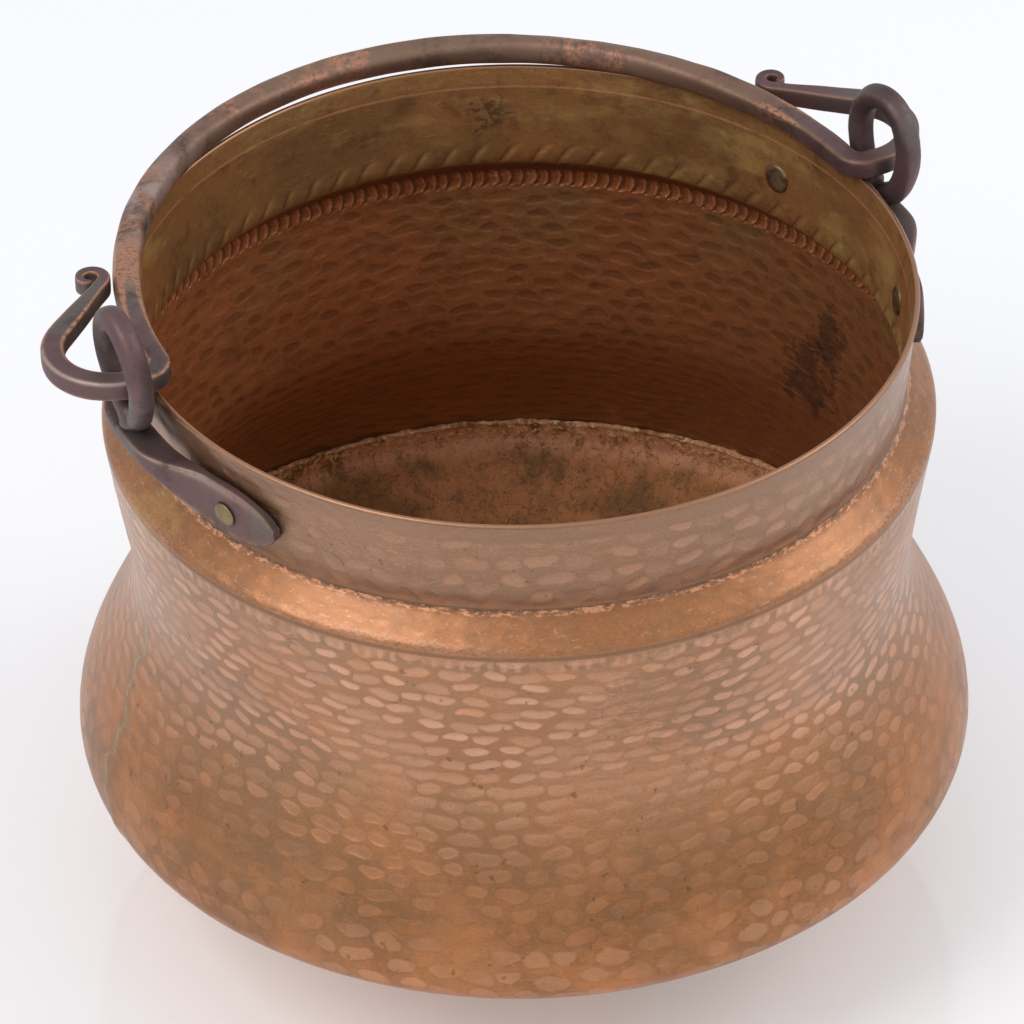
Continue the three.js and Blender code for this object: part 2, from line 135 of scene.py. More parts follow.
class CAULDRON_PG_marks(bpy.types.PropertyGroup):
    """Hammer marks and the mesh that carries them."""
    columns: count("Columns", "Hammer marks in one row round the pot", 76)
    pitch: length("Pitch", "Height of a row of marks on the wall", 0.0064)
    low_pitch: length("Low pitch", "Height of a row of marks near the bulge", 0.0092)
    high_pitch: length("High pitch", "Height of a row of marks under the shoulder", 0.0074)
    neck_pitch: length("Neck pitch", "Height of a row of marks on the neck", 0.0088)
    depth: length("Depth", "Depth of the marks in the sheet", 0.00016)
    fine_depth: length("Fine depth", "Depth of the marks in the finish", 0.00021)
    teeth: count("Teeth", "Small marks round the top of the wall", 196)
    foot_teeth: count("Foot teeth", "Slanting marks round the neck's foot", 78)
    steps: count("Steps", "Sectors round the wall", 100)
    cuts: count("Cuts", "Cuts in each sector", 4)
    plain: length("Plain edge", "Height without marks where wall and shoulder meet", 0.0025)
    outside_spacing: length("Outside spacing", "Height of the faces outside", 0.0013)
    inside_spacing: length("Inside spacing", "Height of the faces inside", 0.0024)


class CAULDRON_PG_smithwork(bpy.types.PropertyGroup):
    """Sizes of the bail, the eyes, the straps and the rivets."""
    bail_bar: length("Bail bar", "Thickness of the bow", 0.0109)
    bow_span: length("Bow span", "Half width of the bow", 0.1434)
    bow_reach: length("Bow reach", "Reach of the bow from the hinge", 0.1545)
    hook_width: length("Hook width", "Width of the hook's bar", 0.0086)
    hook_height: length("Hook height", "Height of the hook's bar", 0.0082)
    hook_bend: length("Hook bend", "Radius of the bend out of the bow", 0.007)
    hook_sweep: length("Hook sweep", "Radius of the hook", 0.022)
    squared_from: length("Squared from", "Where the bow starts to turn square, from its end", 0.08)
    squared_over: length("Squared over", "Length over which the bow turns square", 0.07)
    tail_heading: turn("Tail heading", "Direction of the hook's tail", 141.0)
    tail_width: length("Tail width", "Width of the tail where its scroll begins", 0.0052)
    scroll_radius: length("Scroll radius", "Outer radius of the scroll", 0.006)
    scroll_core: length("Scroll core", "Inner radius of the scroll", 0.002)
    scroll_turn: turn("Scroll turn", "How far the scroll curls", 340.0)
    scroll_room: length("Scroll room", "Room between the scroll and the bow", 0.0015)
    tip_width: length("Tip width", "Width of the scroll's tip", 0.0022)
    tip_height: length("Tip height", "Height of the scroll's tip", 0.0064)
    eye_bar: length("Eye bar", "Thickness of the eye's bar", 0.0092)
    eye_pinch: amount("Eye pinch", "How strongly the eye narrows to its root", 0.35)
    eye_root: length("Eye root", "Height of the loop's root above the strap", 0.0026)
    eye_lean: turn("Eye lean", "Outward lean of the left eye", 6.0)
    eye_turn: turn("Eye turn", "Turn of the right eye on its tenon", 10.0)
    eye_lift: length("Eye lift", "Play of the tenon in the strap", 0.0016)
    shoulder: length("Shoulder", "Thickness of the eye's shoulder", 0.011)
    tenon: length("Tenon", "Thickness of the tenon", 0.0064)
    peen: length("Peen", "Width of the peened end", 0.01)
    peen_height: length("Peen height", "Height of the peened end", 0.0026)
    strap_half: length("Strap half", "Half length of a strap along the neck", 0.071)
    strap_bar: length("Strap bar", "Thickness of the strap under the eye", 0.006)
    strap_leaf: length("Strap leaf", "Thickness of the strap's leaf", 0.004)
    leaf_top: length("Leaf top", "Height of the leaf's upper edge", 0.259)
    leaf_bottom: length("Leaf bottom", "Height of the leaf's lower edge", 0.235)
    standoff: length("Standoff", "Room behind the strap under the eye", 0.002)
    brim: length("Brim", "Strap beyond the eye's shoulder", 0.0008)
    seat_gap: length("Seat gap", "Room between pieces that lie on each other", 0.00035)
    twist: length("Twist", "Length over which the bar turns into the leaf", 0.03)
    tip: length("Tip", "Height of the leaf's tip", 0.005)
    rivet_place: length("Rivet place", "Distance of a rivet from the eye, along the neck", 0.0485)
    rivet_head: length("Rivet head", "Width of a rivet's head", 0.011)
    rivet_rise: length("Rivet rise", "Height of a rivet's head", 0.0024)
    rivet_tail: length("Rivet tail", "Width of a rivet's tail inside the neck", 0.012)
    rivet_tail_rise: length("Rivet tail rise", "Height of a rivet's tail", 0.0013)
    rivet_shank: length("Rivet shank", "Thickness of a rivet's shank", 0.005)
    beaten: length("Beaten", "Unevenness that the smith's hammer leaves", 0.00025)


class CAULDRON_PG_finish(bpy.types.PropertyGroup):
    """Colours of the metals."""
    copper: colour("Copper", "Browned copper of the wall", (0.43, 0.212, 0.11))
    # Bright copper is the worn hammer marks, and also the painted highlight along the ridge's edge.
    bright: colour("Bright copper", "Worn hammer marks", (0.68, 0.37, 0.23))
    # Fresh copper is bare metal in scratches, and also painted highlights on the crease inside the lip and on
    # the small dents of the rope.
    fresh_and_highlight: colour("Fresh copper", "Scratches down to bare metal", (0.78, 0.36, 0.19))
    orange: colour("Orange copper", "Scoured copper of the lower wall", (0.57, 0.23, 0.085))
    olive: colour("Olive tarnish", "Olive-brown tarnish on the wall", (0.25, 0.15, 0.08))
    brown: colour("Brown copper", "Browned copper of the lower wall", (0.31, 0.13, 0.049))
    # Shade is brown dirt in the specks, and painted shade under the ridge's edge, in the groove and in the
    # band above it.
    shade: colour("Shade", "Brown dirt in corners", (0.14, 0.075, 0.038))
    lip: colour("Lip", "Browned copper of the smooth lip", (0.31, 0.17, 0.10))
    dark: colour("Dark tarnish", "Old tarnish", (0.055, 0.032, 0.02))
    soot: colour("Soot", "Sooty stains inside", (0.045, 0.032, 0.026))
    inner: colour("Inner copper", "Red-brown copper inside the wall", (0.43, 0.15, 0.052))
    inner_olive: colour("Inner tarnish", "Brassy tarnish inside the neck", (0.35, 0.178, 0.064))
    # Inner shade is dark tarnish, and also painted shade in the inner marks, under the shoulder and in the
    # small dents of the rope and the neck's foot.
    inner_dark: colour("Inner shade", "Dark tarnish inside", (0.12, 0.055, 0.027))
    # Bottom copper is set lighter than the metal is, as painted light against the shade inside the pot.
    bottom: colour("Bottom copper", "Copper of the bottom", (0.72, 0.33, 0.14))
    # Turned-up copper is the bright copper of the bottom's turned-up edge, made brighter still as painted
    # light, and painted light on the bottom's -X side.
    turned: colour("Turned-up copper", "Bright copper where the bottom turns up", (0.92, 0.5, 0.29))
    braze: colour("Braze", "Brass of the brazed joints", (0.62, 0.42, 0.14))
    speck: colour("Braze specks", "Bright specks of braze along the bottom's edge", (0.95, 0.74, 0.36))
    patina: colour("Patina", "Grey-brown patina of the forged pieces", (0.145, 0.13, 0.122))
    patina_red: colour("Red patina", "Purplish brown in the patina", (0.16, 0.095, 0.098))
    patina_brown: colour("Brown patina", "Brown of the bow", (0.3, 0.178, 0.11))
    patina_dark: colour("Dark patina", "Darkest patina of the forged pieces", (0.075, 0.055, 0.053))
    # Pale patina is a painted sheen round the most worn stretch of the bow.
    painted_sheen: colour("Pale patina", "Rubbed patina of the most worn stretch of the bow", (0.5, 0.39, 0.36))
    worn: colour("Worn copper", "Copper showing through on worn edges", (0.53, 0.255, 0.155))
    worn_place: place("Worn place", "Middle of the most worn stretch of the bow", (-0.138, 0.042, 0.281))
    worn_reach: length("Worn reach", "Reach of the most worn stretch of the bow", 0.048)
    brass: colour("Rivet brass", "Dull brass of the rivets", (0.28, 0.215, 0.12))


class CAULDRON_PG_stage(bpy.types.PropertyGroup):
    """Camera, light and floor."""
    camera_azimuth: turn("Camera azimuth", "Direction of the camera round the pot", 243.5)
    camera_elevation: turn("Camera elevation", "Height of the camera as an angle", 37.5)
    camera_distance: length("Camera distance", "Distance of the camera from the pot's middle", 2.2022)
    camera_target: length("Camera target", "Height of the pot's middle", 0.14573)
    camera_lens: amount("Camera lens", "Focal length in millimetres", 200.87)
    camera_roll: turn("Camera roll", "Roll of the camera", 0.78)
    aim_up: turn("Aim up", "How far the camera looks over the pot's middle", 0.378)
    aim_left: turn("Aim left", "How far the camera looks past the pot's middle", 0.092)
    floor_size: length("Floor size", "Width of the floor", 12.0)
    floor_colour: colour("Floor colour", "Colour of the pale floor", (0.86, 0.86, 0.865))
    glow_colour: colour("Glow colour", "Colour of the light from below", (1.0, 1.0, 1.0))
    glow: amount("Glow", "Strength of the light from below", 0.15)
    world_colour: colour("World colour", "Colour of the soft light all round", (0.93, 0.95, 1.0))
    world_strength: amount("World strength", "Strength of the soft light all round", 0.74)
    left_power: power("Left power", "Power of the left lamp", 17.0)
    left_place: place("Left place", "Place of the left lamp", (-1.5, -0.3, 1.9))
    right_power: power("Right power", "Power of the right lamp", 13.0)
    right_place: place("Right place", "Place of the right lamp", (1.8, -0.75, 1.6))
    lamp_size: length("Lamp size", "Width of the lamps", 1.1)
    lamp_aim: length("Lamp aim", "Height that the lamps point at", 0.15)


# Shader sockets as values

class Field:
    """A socket that takes part in sums. Each sum adds a Math node."""

    def __init__(self, nodes, socket):
        self.nodes = nodes
        self.socket = socket

    def math(self, operation, *others):
        sockets = dict(enumerate((self, *others)))
        return self.nodes.add("ShaderNodeMath", {"operation": operation}, sockets)

    def __add__(self, other):
        return self.math("ADD", other)

    __radd__ = __add__

    def __sub__(self, other):
        return self.math("SUBTRACT", other)

    def __rsub__(self, other):
        return self.math("MULTIPLY_ADD", -1.0, other)

    def __mul__(self, other):
        return self.math("MULTIPLY", other)

    __rmul__ = __mul__

    def ramp(self, low, high):
        """0 below low, 1 above high and a smooth step between them. It falls where low is above high."""
        sockets = {"Value": self, "From Min": low, "From Max": high}
        return self.nodes.add("ShaderNodeMapRange", {"interpolation_type": "SMOOTHSTEP"}, sockets)


class Nodes:
    """The nodes of a material or a world in the making."""
    MIX_FACTOR, MIX_FIRST, MIX_SECOND, MIX_RESULT = 0, 6, 7, 2

    def __init__(self, owner):
        owner.use_nodes = True
        self.owner = owner
        self.tree = owner.node_tree
        self.tree.nodes.clear()

    def add(self, kind, settings, sockets, output=0):
        node = self.tree.nodes.new(kind)
        for key, value in settings.items():
            setattr(node, key, value)
        for key, value in sockets.items():
            self.join(value, node.inputs[key])
        return Field(self, node.outputs[output]) if len(node.outputs) else node

    def join(self, value, socket):
        if isinstance(value, Field):
            self.tree.links.new(value.socket, socket)
        elif socket.type == "RGBA":
            socket.default_value = (*value, 1.0)
        else:
            socket.default_value = value

    def blend(self, first, second, factor):
        sockets = {self.MIX_FACTOR: factor, self.MIX_FIRST: first, self.MIX_SECOND: second}
        return self.add("ShaderNodeMix", {"data_type": "RGBA"}, sockets, self.MIX_RESULT)

    def coats(self, base, *layers):
        """Lays colours over a base in turn, each as strongly as its own factor says."""
        for tint, factor in layers:
            base = self.blend(base, tint, factor)
        return base

    def object_place(self):
        return self.add("ShaderNodeTexCoord", {}, {}, "Object")

    def axes(self, vector):
        return [self.add("ShaderNodeSeparateXYZ", {}, {"Vector": vector}, axis) for axis in "XYZ"]

    def stretched(self, vector, scale):
        return self.add("ShaderNodeVectorMath", {"operation": "MULTIPLY"}, {0: vector, 1: scale})

    def distance(self, vector, centre):
        return self.add("ShaderNodeVectorMath", {"operation": "DISTANCE"}, {0: vector, 1: centre}, "Value")

    def cloud(self, vector, scale, detail=3.0, roughness=0.55, distortion=0.0):
        return self.add("ShaderNodeTexNoise", {}, {
            "Vector": vector, "Scale": scale, "Detail": detail, "Roughness": roughness,
            "Distortion": distortion})

    def attribute(self, name):
        return self.add("ShaderNodeAttribute", {"attribute_name": name}, {}, "Fac")

    def bump(self, height):
        return self.add("ShaderNodeBump", {}, {"Height": height, "Strength": 1.0, "Distance": 1.0})

    def metal(self, base, roughness, normal, metallic, sheen=0.0):
        """Tarnished metal, whitish at its sides where it has a sheen."""
        gloss, sheen_roughness = 0.2, 0.3
        shader = self.add("ShaderNodeBsdfPrincipled", {}, {
            "Base Color": base, "Roughness": roughness, "Metallic": metallic, "Normal": normal,
            "Specular IOR Level": gloss, "Coat Weight": sheen, "Coat Roughness": sheen_roughness})
        self.add("ShaderNodeOutputMaterial", {}, {"Surface": shader})
        return self.owner


# Sums that work on shader sockets and on number arrays alike

def sine(value):
    return value.math("SINE") if isinstance(value, Field) else np.sin(value)


def floor(value):
    return value.math("FLOOR") if isinstance(value, Field) else np.floor(value)


def least(first, second):
    return first.math("MINIMUM", second) if isinstance(first, Field) else np.minimum(first, second)


def below(first, second):
    return first.math("LESS_THAN", second) if isinstance(first, Field) else (first < second) * 1.0


def hammer_marks(angle, rows, columns):
    """How far a point is from the middle of its hammer mark, and that mark's own number.

    The distance is 1 at the mark's edge. The odd factors keep the pattern from repeating.
    """
    sway, ripple, uneven = 0.22, 0.08, 0.025
    across = angle * (columns / (2.0 * math.pi)) + sway * sine(rows * 0.61 + sine(angle * 5.0) * 2.0)
    across = across + ripple * sine(rows * 1.9 + angle * 37.0) + uneven * sine(angle * 91.0 - rows * 5.1)
    up = rows + sway * sine(angle * 6.0 + rows * 0.23) + ripple * sine(angle * 53.0 - rows * 0.7)
    up = up + uneven * sine(angle * 117.0 + rows * 3.3)
    wide, tall, smallest, spread, jitter = 5.0, 6.6, 0.85, 0.6, 0.26
    nearest, number = None, None
    row_under = floor(up)
    for step in (-1.0, 0.0, 1.0):
        row = row_under + step
        shifted = across + row * 0.5 + jitter * sine(row * 5.3)
        column = floor(shifted)
        scatter = 0.5 + 0.5 * sine(column * 2.4 + row * 1.9 + column * row * 0.37)
        aside = shifted - column - 0.5 - jitter * 0.5 * sine(column * 4.7 + row * 2.9)
        above = up - row - 0.5 - (scatter - 0.5) * jitter
        distance = (aside * aside * wide + above * above * tall) * (smallest + scatter * spread)
        if nearest is None:
            nearest, number = distance, scatter
        else:
            closer = below(distance, nearest)
            nearest = least(distance, nearest)
            number = number + (scatter - number) * closer
    return nearest, number


# Paths of radius and height

def smooth(t):
    t = np.clip(t, 0.0, 1.0)
    return t * t * (3.0 - 2.0 * t)


def mix(first, second, t):
    return first + (second - first) * t


def arc(centre, radius, start, end, steps):
    angles = np.linspace(start, end, steps + 1)
    return np.column_stack((centre[0] + radius * np.cos(angles), centre[1] + radius * np.sin(angles)))


def bend(start, corner, end, steps, until=1.0):
    """A curve that leaves start and reaches end in the directions of the corner between them."""
    t = np.linspace(0.0, until, steps + 1)[:, None]
    return (1.0 - t) ** 2 * start + 2.0 * t * (1.0 - t) * corner + t ** 2 * end


def towards(start, end, distance):
    return start + (end - start) * (distance / np.linalg.norm(end - start))


def lengths(path):
    return np.concatenate(([0.0], np.cumsum(np.linalg.norm(np.diff(path, axis=0), axis=1))))


def even(path, spacing):
    """The same path with its points evenly spaced."""
    along = lengths(path)
    wanted = np.linspace(0.0, along[-1], max(round(along[-1] / spacing), 2) + 1)
    return np.column_stack([np.interp(wanted, along, values) for values in path.T])


def sideways(path):
    """Unit vectors to the left of a path."""
    along = np.gradient(path, axis=0)
    along = along / np.linalg.norm(along, axis=1)[:, None]
    return np.column_stack((-along[:, 1], along[:, 0]))


def bowl_sphere(pot, turn_radius):
    """Centre height and radius of the bottom's sphere.

    It passes the seat's edge and touches the turn at the bulge.
    """
    reach = pot.bulge_radius - pot.bulge_round
    half = (reach ** 2 + pot.bulge_height ** 2 - pot.seat_radius ** 2 - turn_radius ** 2) / 2.0
    square = pot.bulge_height ** 2 - turn_radius ** 2
    root = (pot.bulge_height * half) ** 2 - square * (half ** 2 - (turn_radius * pot.seat_radius) ** 2)
    centre = (pot.bulge_height * half + math.sqrt(root)) / square
    return centre, math.hypot(pot.seat_radius, centre)


def flare_radius(pot, height):
    t = (height - pot.bulge_height) / (pot.waist_height - pot.bulge_height)
    return mix(pot.bulge_radius, pot.waist_radius, smooth(t))


def neck_radius(pot, height):
    t = (height - pot.foot_height) / (pot.lip_height - pot.foot_height)
    return mix(pot.foot_radius, pot.lip_radius, t)


def hollow_path(pot, steps):
    """The hollow of the wall, from the waist to just under the shoulder's rounded edge."""
    waist = np.array((pot.waist_radius, pot.waist_height))
    knee = np.array((pot.waist_radius, pot.waist_height + pot.knee))
    ridge = np.array((pot.ridge_radius, pot.ridge_height))
    until = 1.0 - pot.ridge_round / (2.0 * np.linalg.norm(ridge - knee))
    return bend(waist, knee, ridge, steps, until)


def wall_outside(pot):
    """Outside of the wall, from the edge tucked under the bulge up to the shoulder."""
    steps = 80
    centre, _ = bowl_sphere(pot, pot.bulge_round - pot.sheet - pot.braze_gap)
    reach = pot.bulge_radius - pot.bulge_round
    tuck = math.atan2(pot.bulge_height - centre, reach)
    heights = np.linspace(pot.bulge_height, pot.waist_height, steps + 1)
    flare = np.column_stack((flare_radius(pot, heights), heights))
    under = arc((reach, pot.bulge_height), pot.bulge_round, tuck, 0.0, steps)
    return np.vstack((under, flare[1:], hollow_path(pot, steps)[1:]))


def neck_outside(pot):
    """Outside of the shoulder, the neck and the lip, up to the rim's rounded edge."""
    steps = 24
    ridge = np.array((pot.ridge_radius, pot.ridge_height))
    foot = np.array((pot.foot_radius, pot.foot_height))
    lip = np.array((pot.lip_radius, pot.lip_height))
    edge = np.array((pot.mouth_radius, pot.rim_height - pot.sheet / 2.0))
    under = hollow_path(pot, steps)[-1]
    return np.vstack((
        bend(under, ridge, towards(ridge, foot, pot.ridge_round), steps),
        bend(towards(foot, ridge, pot.foot_round), foot, towards(foot, lip, pot.foot_round), steps),
        bend(towards(lip, foot, pot.lip_round), lip, towards(lip, edge, pot.lip_round), steps),
        edge[None, :],
    ))


class Sheet:
    """The closed outline of a turned sheet.

    Each point has its row of hammer marks, their depth and its side. Each surface counts its rows from
    a number of its own, so that no two share a pattern.
    """
    INSIDE_ROW, NECK_ROW, RIM_ROW, INNER_NECK_ROW = 100.0, 200.0, 240.0, 300.0

    def __init__(self):
        self.path = np.empty((0, 2))
        self.out = np.empty((0, 2))
        self.rows = np.empty(0)
        self.depth = np.empty(0)
        self.inside = np.empty(0)

    def extend(self, path, out, pitch, depth, inside, first_row=0.0):
        steps = np.linalg.norm(np.diff(path, axis=0), axis=1)
        pitch = np.broadcast_to(pitch, len(path))
        rises = steps / ((pitch[1:] + pitch[:-1]) / 2.0)
        self.path = np.vstack((self.path, path))
        self.out = np.vstack((self.out, out))
        self.rows = np.append(self.rows, first_row + np.concatenate(([0.0], np.cumsum(rises))))
        self.depth = np.append(self.depth, np.broadcast_to(depth, len(path)))
        self.inside = np.append(self.inside, np.full(len(path), inside))


def wall_sheet(pot, marks):
    sheet = Sheet()
    outside = even(wall_outside(pot), marks.outside_spacing)
    out = -sideways(outside)
    low_height, low_fade, high_height, high_fade, shallow = 0.082, 0.05, 0.196, 0.02, 0.4
    low = smooth((outside[:, 1] - low_height) / low_fade)
    high = smooth((outside[:, 1] - high_height) / high_fade)
    pitch = mix(mix(marks.low_pitch, marks.pitch, low), marks.high_pitch, high)
    depth = marks.depth * mix(shallow, 1.0, low) * smooth((outside[-1, 1] - outside[:, 1]) / marks.plain)
    sheet.extend(outside, out, pitch, depth, 0.0)
    inside = even(wall_outside(pot), marks.inside_spacing)
    thickness = mix(pot.edge, pot.sheet, smooth((inside[:, 1] - inside[0, 1]) / pot.thinning))
    inward = sideways(inside)
    inside = (inside + inward * thickness[:, None])[::-1]
    sheet.extend(inside, inward[::-1], marks.pitch, marks.depth, 1.0, Sheet.INSIDE_ROW)
    return sheet


def neck_sheet(pot, marks):
    sheet = Sheet()
    outside = even(neck_outside(pot), marks.outside_spacing)
    heights = outside[:, 1]
    fade, shallow, full, faint = 0.004, 0.5, 0.9, 0.2
    on_neck = smooth((heights - pot.foot_height) / fade) * smooth((pot.lip_height - heights) / fade)
    out = -sideways(outside)
    pitch = mix(marks.pitch, marks.neck_pitch, on_neck)
    depth = marks.depth * mix(shallow, full, on_neck) * smooth((heights - heights[0]) / marks.plain)
    sheet.extend(outside, out, pitch, depth, 0.0, Sheet.NECK_ROW)
    half = pot.sheet / 2.0
    rim_steps = 8
    rim = arc((pot.mouth_radius - half, pot.rim_height - half), half, 0.0, math.pi, rim_steps)[1:-1]
    rim_out = arc((0.0, 0.0), 1.0, 0.0, math.pi, rim_steps)[1:-1]
    sheet.extend(rim, rim_out, marks.pitch, 0.0, 0.0, Sheet.RIM_ROW)
    inward = sideways(outside)
    inside = (outside + inward * pot.sheet)[::-1]
    inside[0] = (pot.mouth_radius - pot.sheet, pot.rim_height - half)
    sheet.extend(inside, inward[::-1], marks.neck_pitch, faint * marks.depth, 1.0, Sheet.INNER_NECK_ROW)
    return sheet


# Meshes

def finish_piece(bm, name, material):
    """Turns a bmesh into a smooth object at the origin."""
    sharp = math.radians(50.0)
    mesh = bpy.data.meshes.new(name)
    bm.to_mesh(mesh)
    bm.free()
    mesh.shade_smooth()
    mesh.set_sharp_from_angle(angle=sharp)
    mesh.materials.append(material)
    piece = bpy.data.objects.new(name, mesh)
    bpy.context.scene.collection.objects.link(piece)
    return piece


def soften(piece):
    """Rounds a piece with one level of a subdivision surface."""
    subdivision = piece.modifiers.new("Rounding", "SUBSURF")
    subdivision.levels = 1
    subdivision.render_levels = 1


def turned(path, steps, closed, cuts=0):
    """Spins an outline about Z. Each vertex keeps the number of its outline point."""
    bm = bmesh.new()
    station = bm.verts.layers.int.new("station")
    verts = []
    for index, (radius, height) in enumerate(path):
        vert = bm.verts.new((radius, 0.0, height))
        vert[station] = index
        verts.append(vert)
    nexts = verts[1:] + verts[:1] if closed else verts[1:]
    edges = [bm.edges.new(pair) for pair in zip(verts, nexts)]
    bmesh.ops.spin(
        bm, geom=verts + edges, cent=(0.0, 0.0, 0.0), axis=(0.0, 0.0, 1.0), angle=2.0 * math.pi, steps=steps,
        use_merge=True)
    weld = 1e-7
    bmesh.ops.remove_doubles(bm, verts=bm.verts, dist=weld)
    if cuts:
        around = [edge for edge in bm.edges if edge.verts[0][station] == edge.verts[1][station]]
        bmesh.ops.subdivide_edges(bm, edges=around, cuts=cuts, use_grid_fill=True)
        for vert in bm.verts:
            if vert.co.xy.length > weld:
                vert.co.xy = vert.co.xy.normalized() * path[vert[station]][0]
    bmesh.ops.recalc_face_normals(bm, faces=bm.faces)
    return bm


def swept(rings, worn):
    """Grows a bar by extruding its end face from ring to ring. Each vertex keeps its wear."""
    bm = bmesh.new()
    wear = bm.verts.layers.float.new("wear")
    corner = bm.verts.layers.int.new("corner")
    first = [bm.verts.new(point) for point in rings[0]]
    for number, vert in enumerate(first):
        vert[corner] = number
    face = bm.faces.new(first)
    for index, (ring, values) in enumerate(zip(rings, worn)):
        if index > 0:
            face = bmesh.ops.extrude_discrete_faces(bm, faces=[face])["faces"][0]
        for vert in face.verts:
            vert.co = ring[vert[corner]]
            vert[wear] = values[vert[corner]]
    bm.faces.new(first)
    bmesh.ops.recalc_face_normals(bm, faces=bm.faces)
    return bm


def beat(bm, depth, size):
    """Leaves the unevenness of forging on a bar."""
    bm.normal_update()
    shifts = [vert.normal * (noise.noise(vert.co / size) * depth) for vert in bm.verts]
    for vert, shift in zip(bm.verts, shifts):
        vert.co += shift


def vertex_places(mesh):
    places = np.empty(3 * len(mesh.vertices), np.float32)
    mesh.vertices.foreach_get("co", places)
    return places.reshape(-1, 3).astype(float)


def keep_values(mesh, name, values):
    layer = mesh.attributes.new(name, "FLOAT", "POINT")
    layer.data.foreach_set("value", values.astype(np.float32))


def seam_angle(height):
    """Where the upright seam runs at a height, as an angle round the pot."""
    foot, foot_angle, lean, sway, wiggle = 0.08, 3.075, 1.65, 0.018, 0.009
    waving = sway * sine(height * 190.0) + wiggle * sine(height * 520.0)
    return foot_angle - lean * (height - foot) + waving


def seam_step(pot, angle, radius, height):
    """Rise of the lapped sheet beside the seam."""
    lap, edge, width, plain, fade = 0.0004, 0.0025, 0.02, 0.004, 0.01
    aside = (angle - seam_angle(height)) * radius
    on_wall = smooth((pot.ridge_height - plain - height) / fade)
    return lap * smooth(aside / edge + 0.5) * smooth((width - aside) / width) * on_wall


def strayed(pot, angle, height):
    """How far out and up the beaten sheet strays.

    It has slack waves below the neck and an oval mouth, worn where the bail lies.
    """
    lesser, fade = 0.6, 0.008
    waves = np.sin(3.0 * angle + height * 30.0) + lesser * np.sin(7.0 * angle - height * 47.0)
    out = pot.wave * waves / (1.0 + lesser) * smooth((pot.foot_height - height) / fade)
    rise = (height - pot.ridge_height) / (pot.rim_height - pot.ridge_height)
    out = out - pot.oval * np.cos(2.0 * angle) * smooth(rise)
    sag = pot.wave * smooth((height - pot.lip_height) / fade) * (np.cos(4.0 * angle) - 1.0) / 2.0
    return out, sag


def sheet_piece(name, sheet, pot, marks, material):
    """Turns a sheet and beats the hammer marks, the seam and the waves of the smith's work into it."""
    piece = finish_piece(turned(sheet.path, marks.steps, True, marks.cuts), name, material)
    mesh = piece.data
    places = vertex_places(mesh)
    station = np.empty(len(places), np.int32)
    mesh.attributes["station"].data.foreach_get("value", station)
    angle = np.arctan2(places[:, 1], places[:, 0])
    radius = np.hypot(places[:, 0], places[:, 1])
    height = places[:, 2]
    near, _ = hammer_marks(angle, sheet.rows[station], marks.columns)
    lift = sheet.depth[station] * (np.minimum(near, 1.0) - 0.5)
    lift = lift + seam_step(pot, angle, radius, height) * (1.0 - sheet.inside[station])
    out, sag = strayed(pot, angle, height)
    radius = radius + sheet.out[station, 0] * lift + out
    height = height + sheet.out[station, 1] * lift + sag
    places = np.column_stack((radius * np.cos(angle), radius * np.sin(angle), height))
    mesh.vertices.foreach_set("co", places.astype(np.float32).ravel())
    keep_values(mesh, "rows", sheet.rows[station])
    keep_values(mesh, "depth", sheet.depth[station] / marks.depth)
    keep_values(mesh, "inside", sheet.inside[station])
    mesh.attributes.remove(mesh.attributes["station"])
    mesh.update()
    return piece


# Finishes

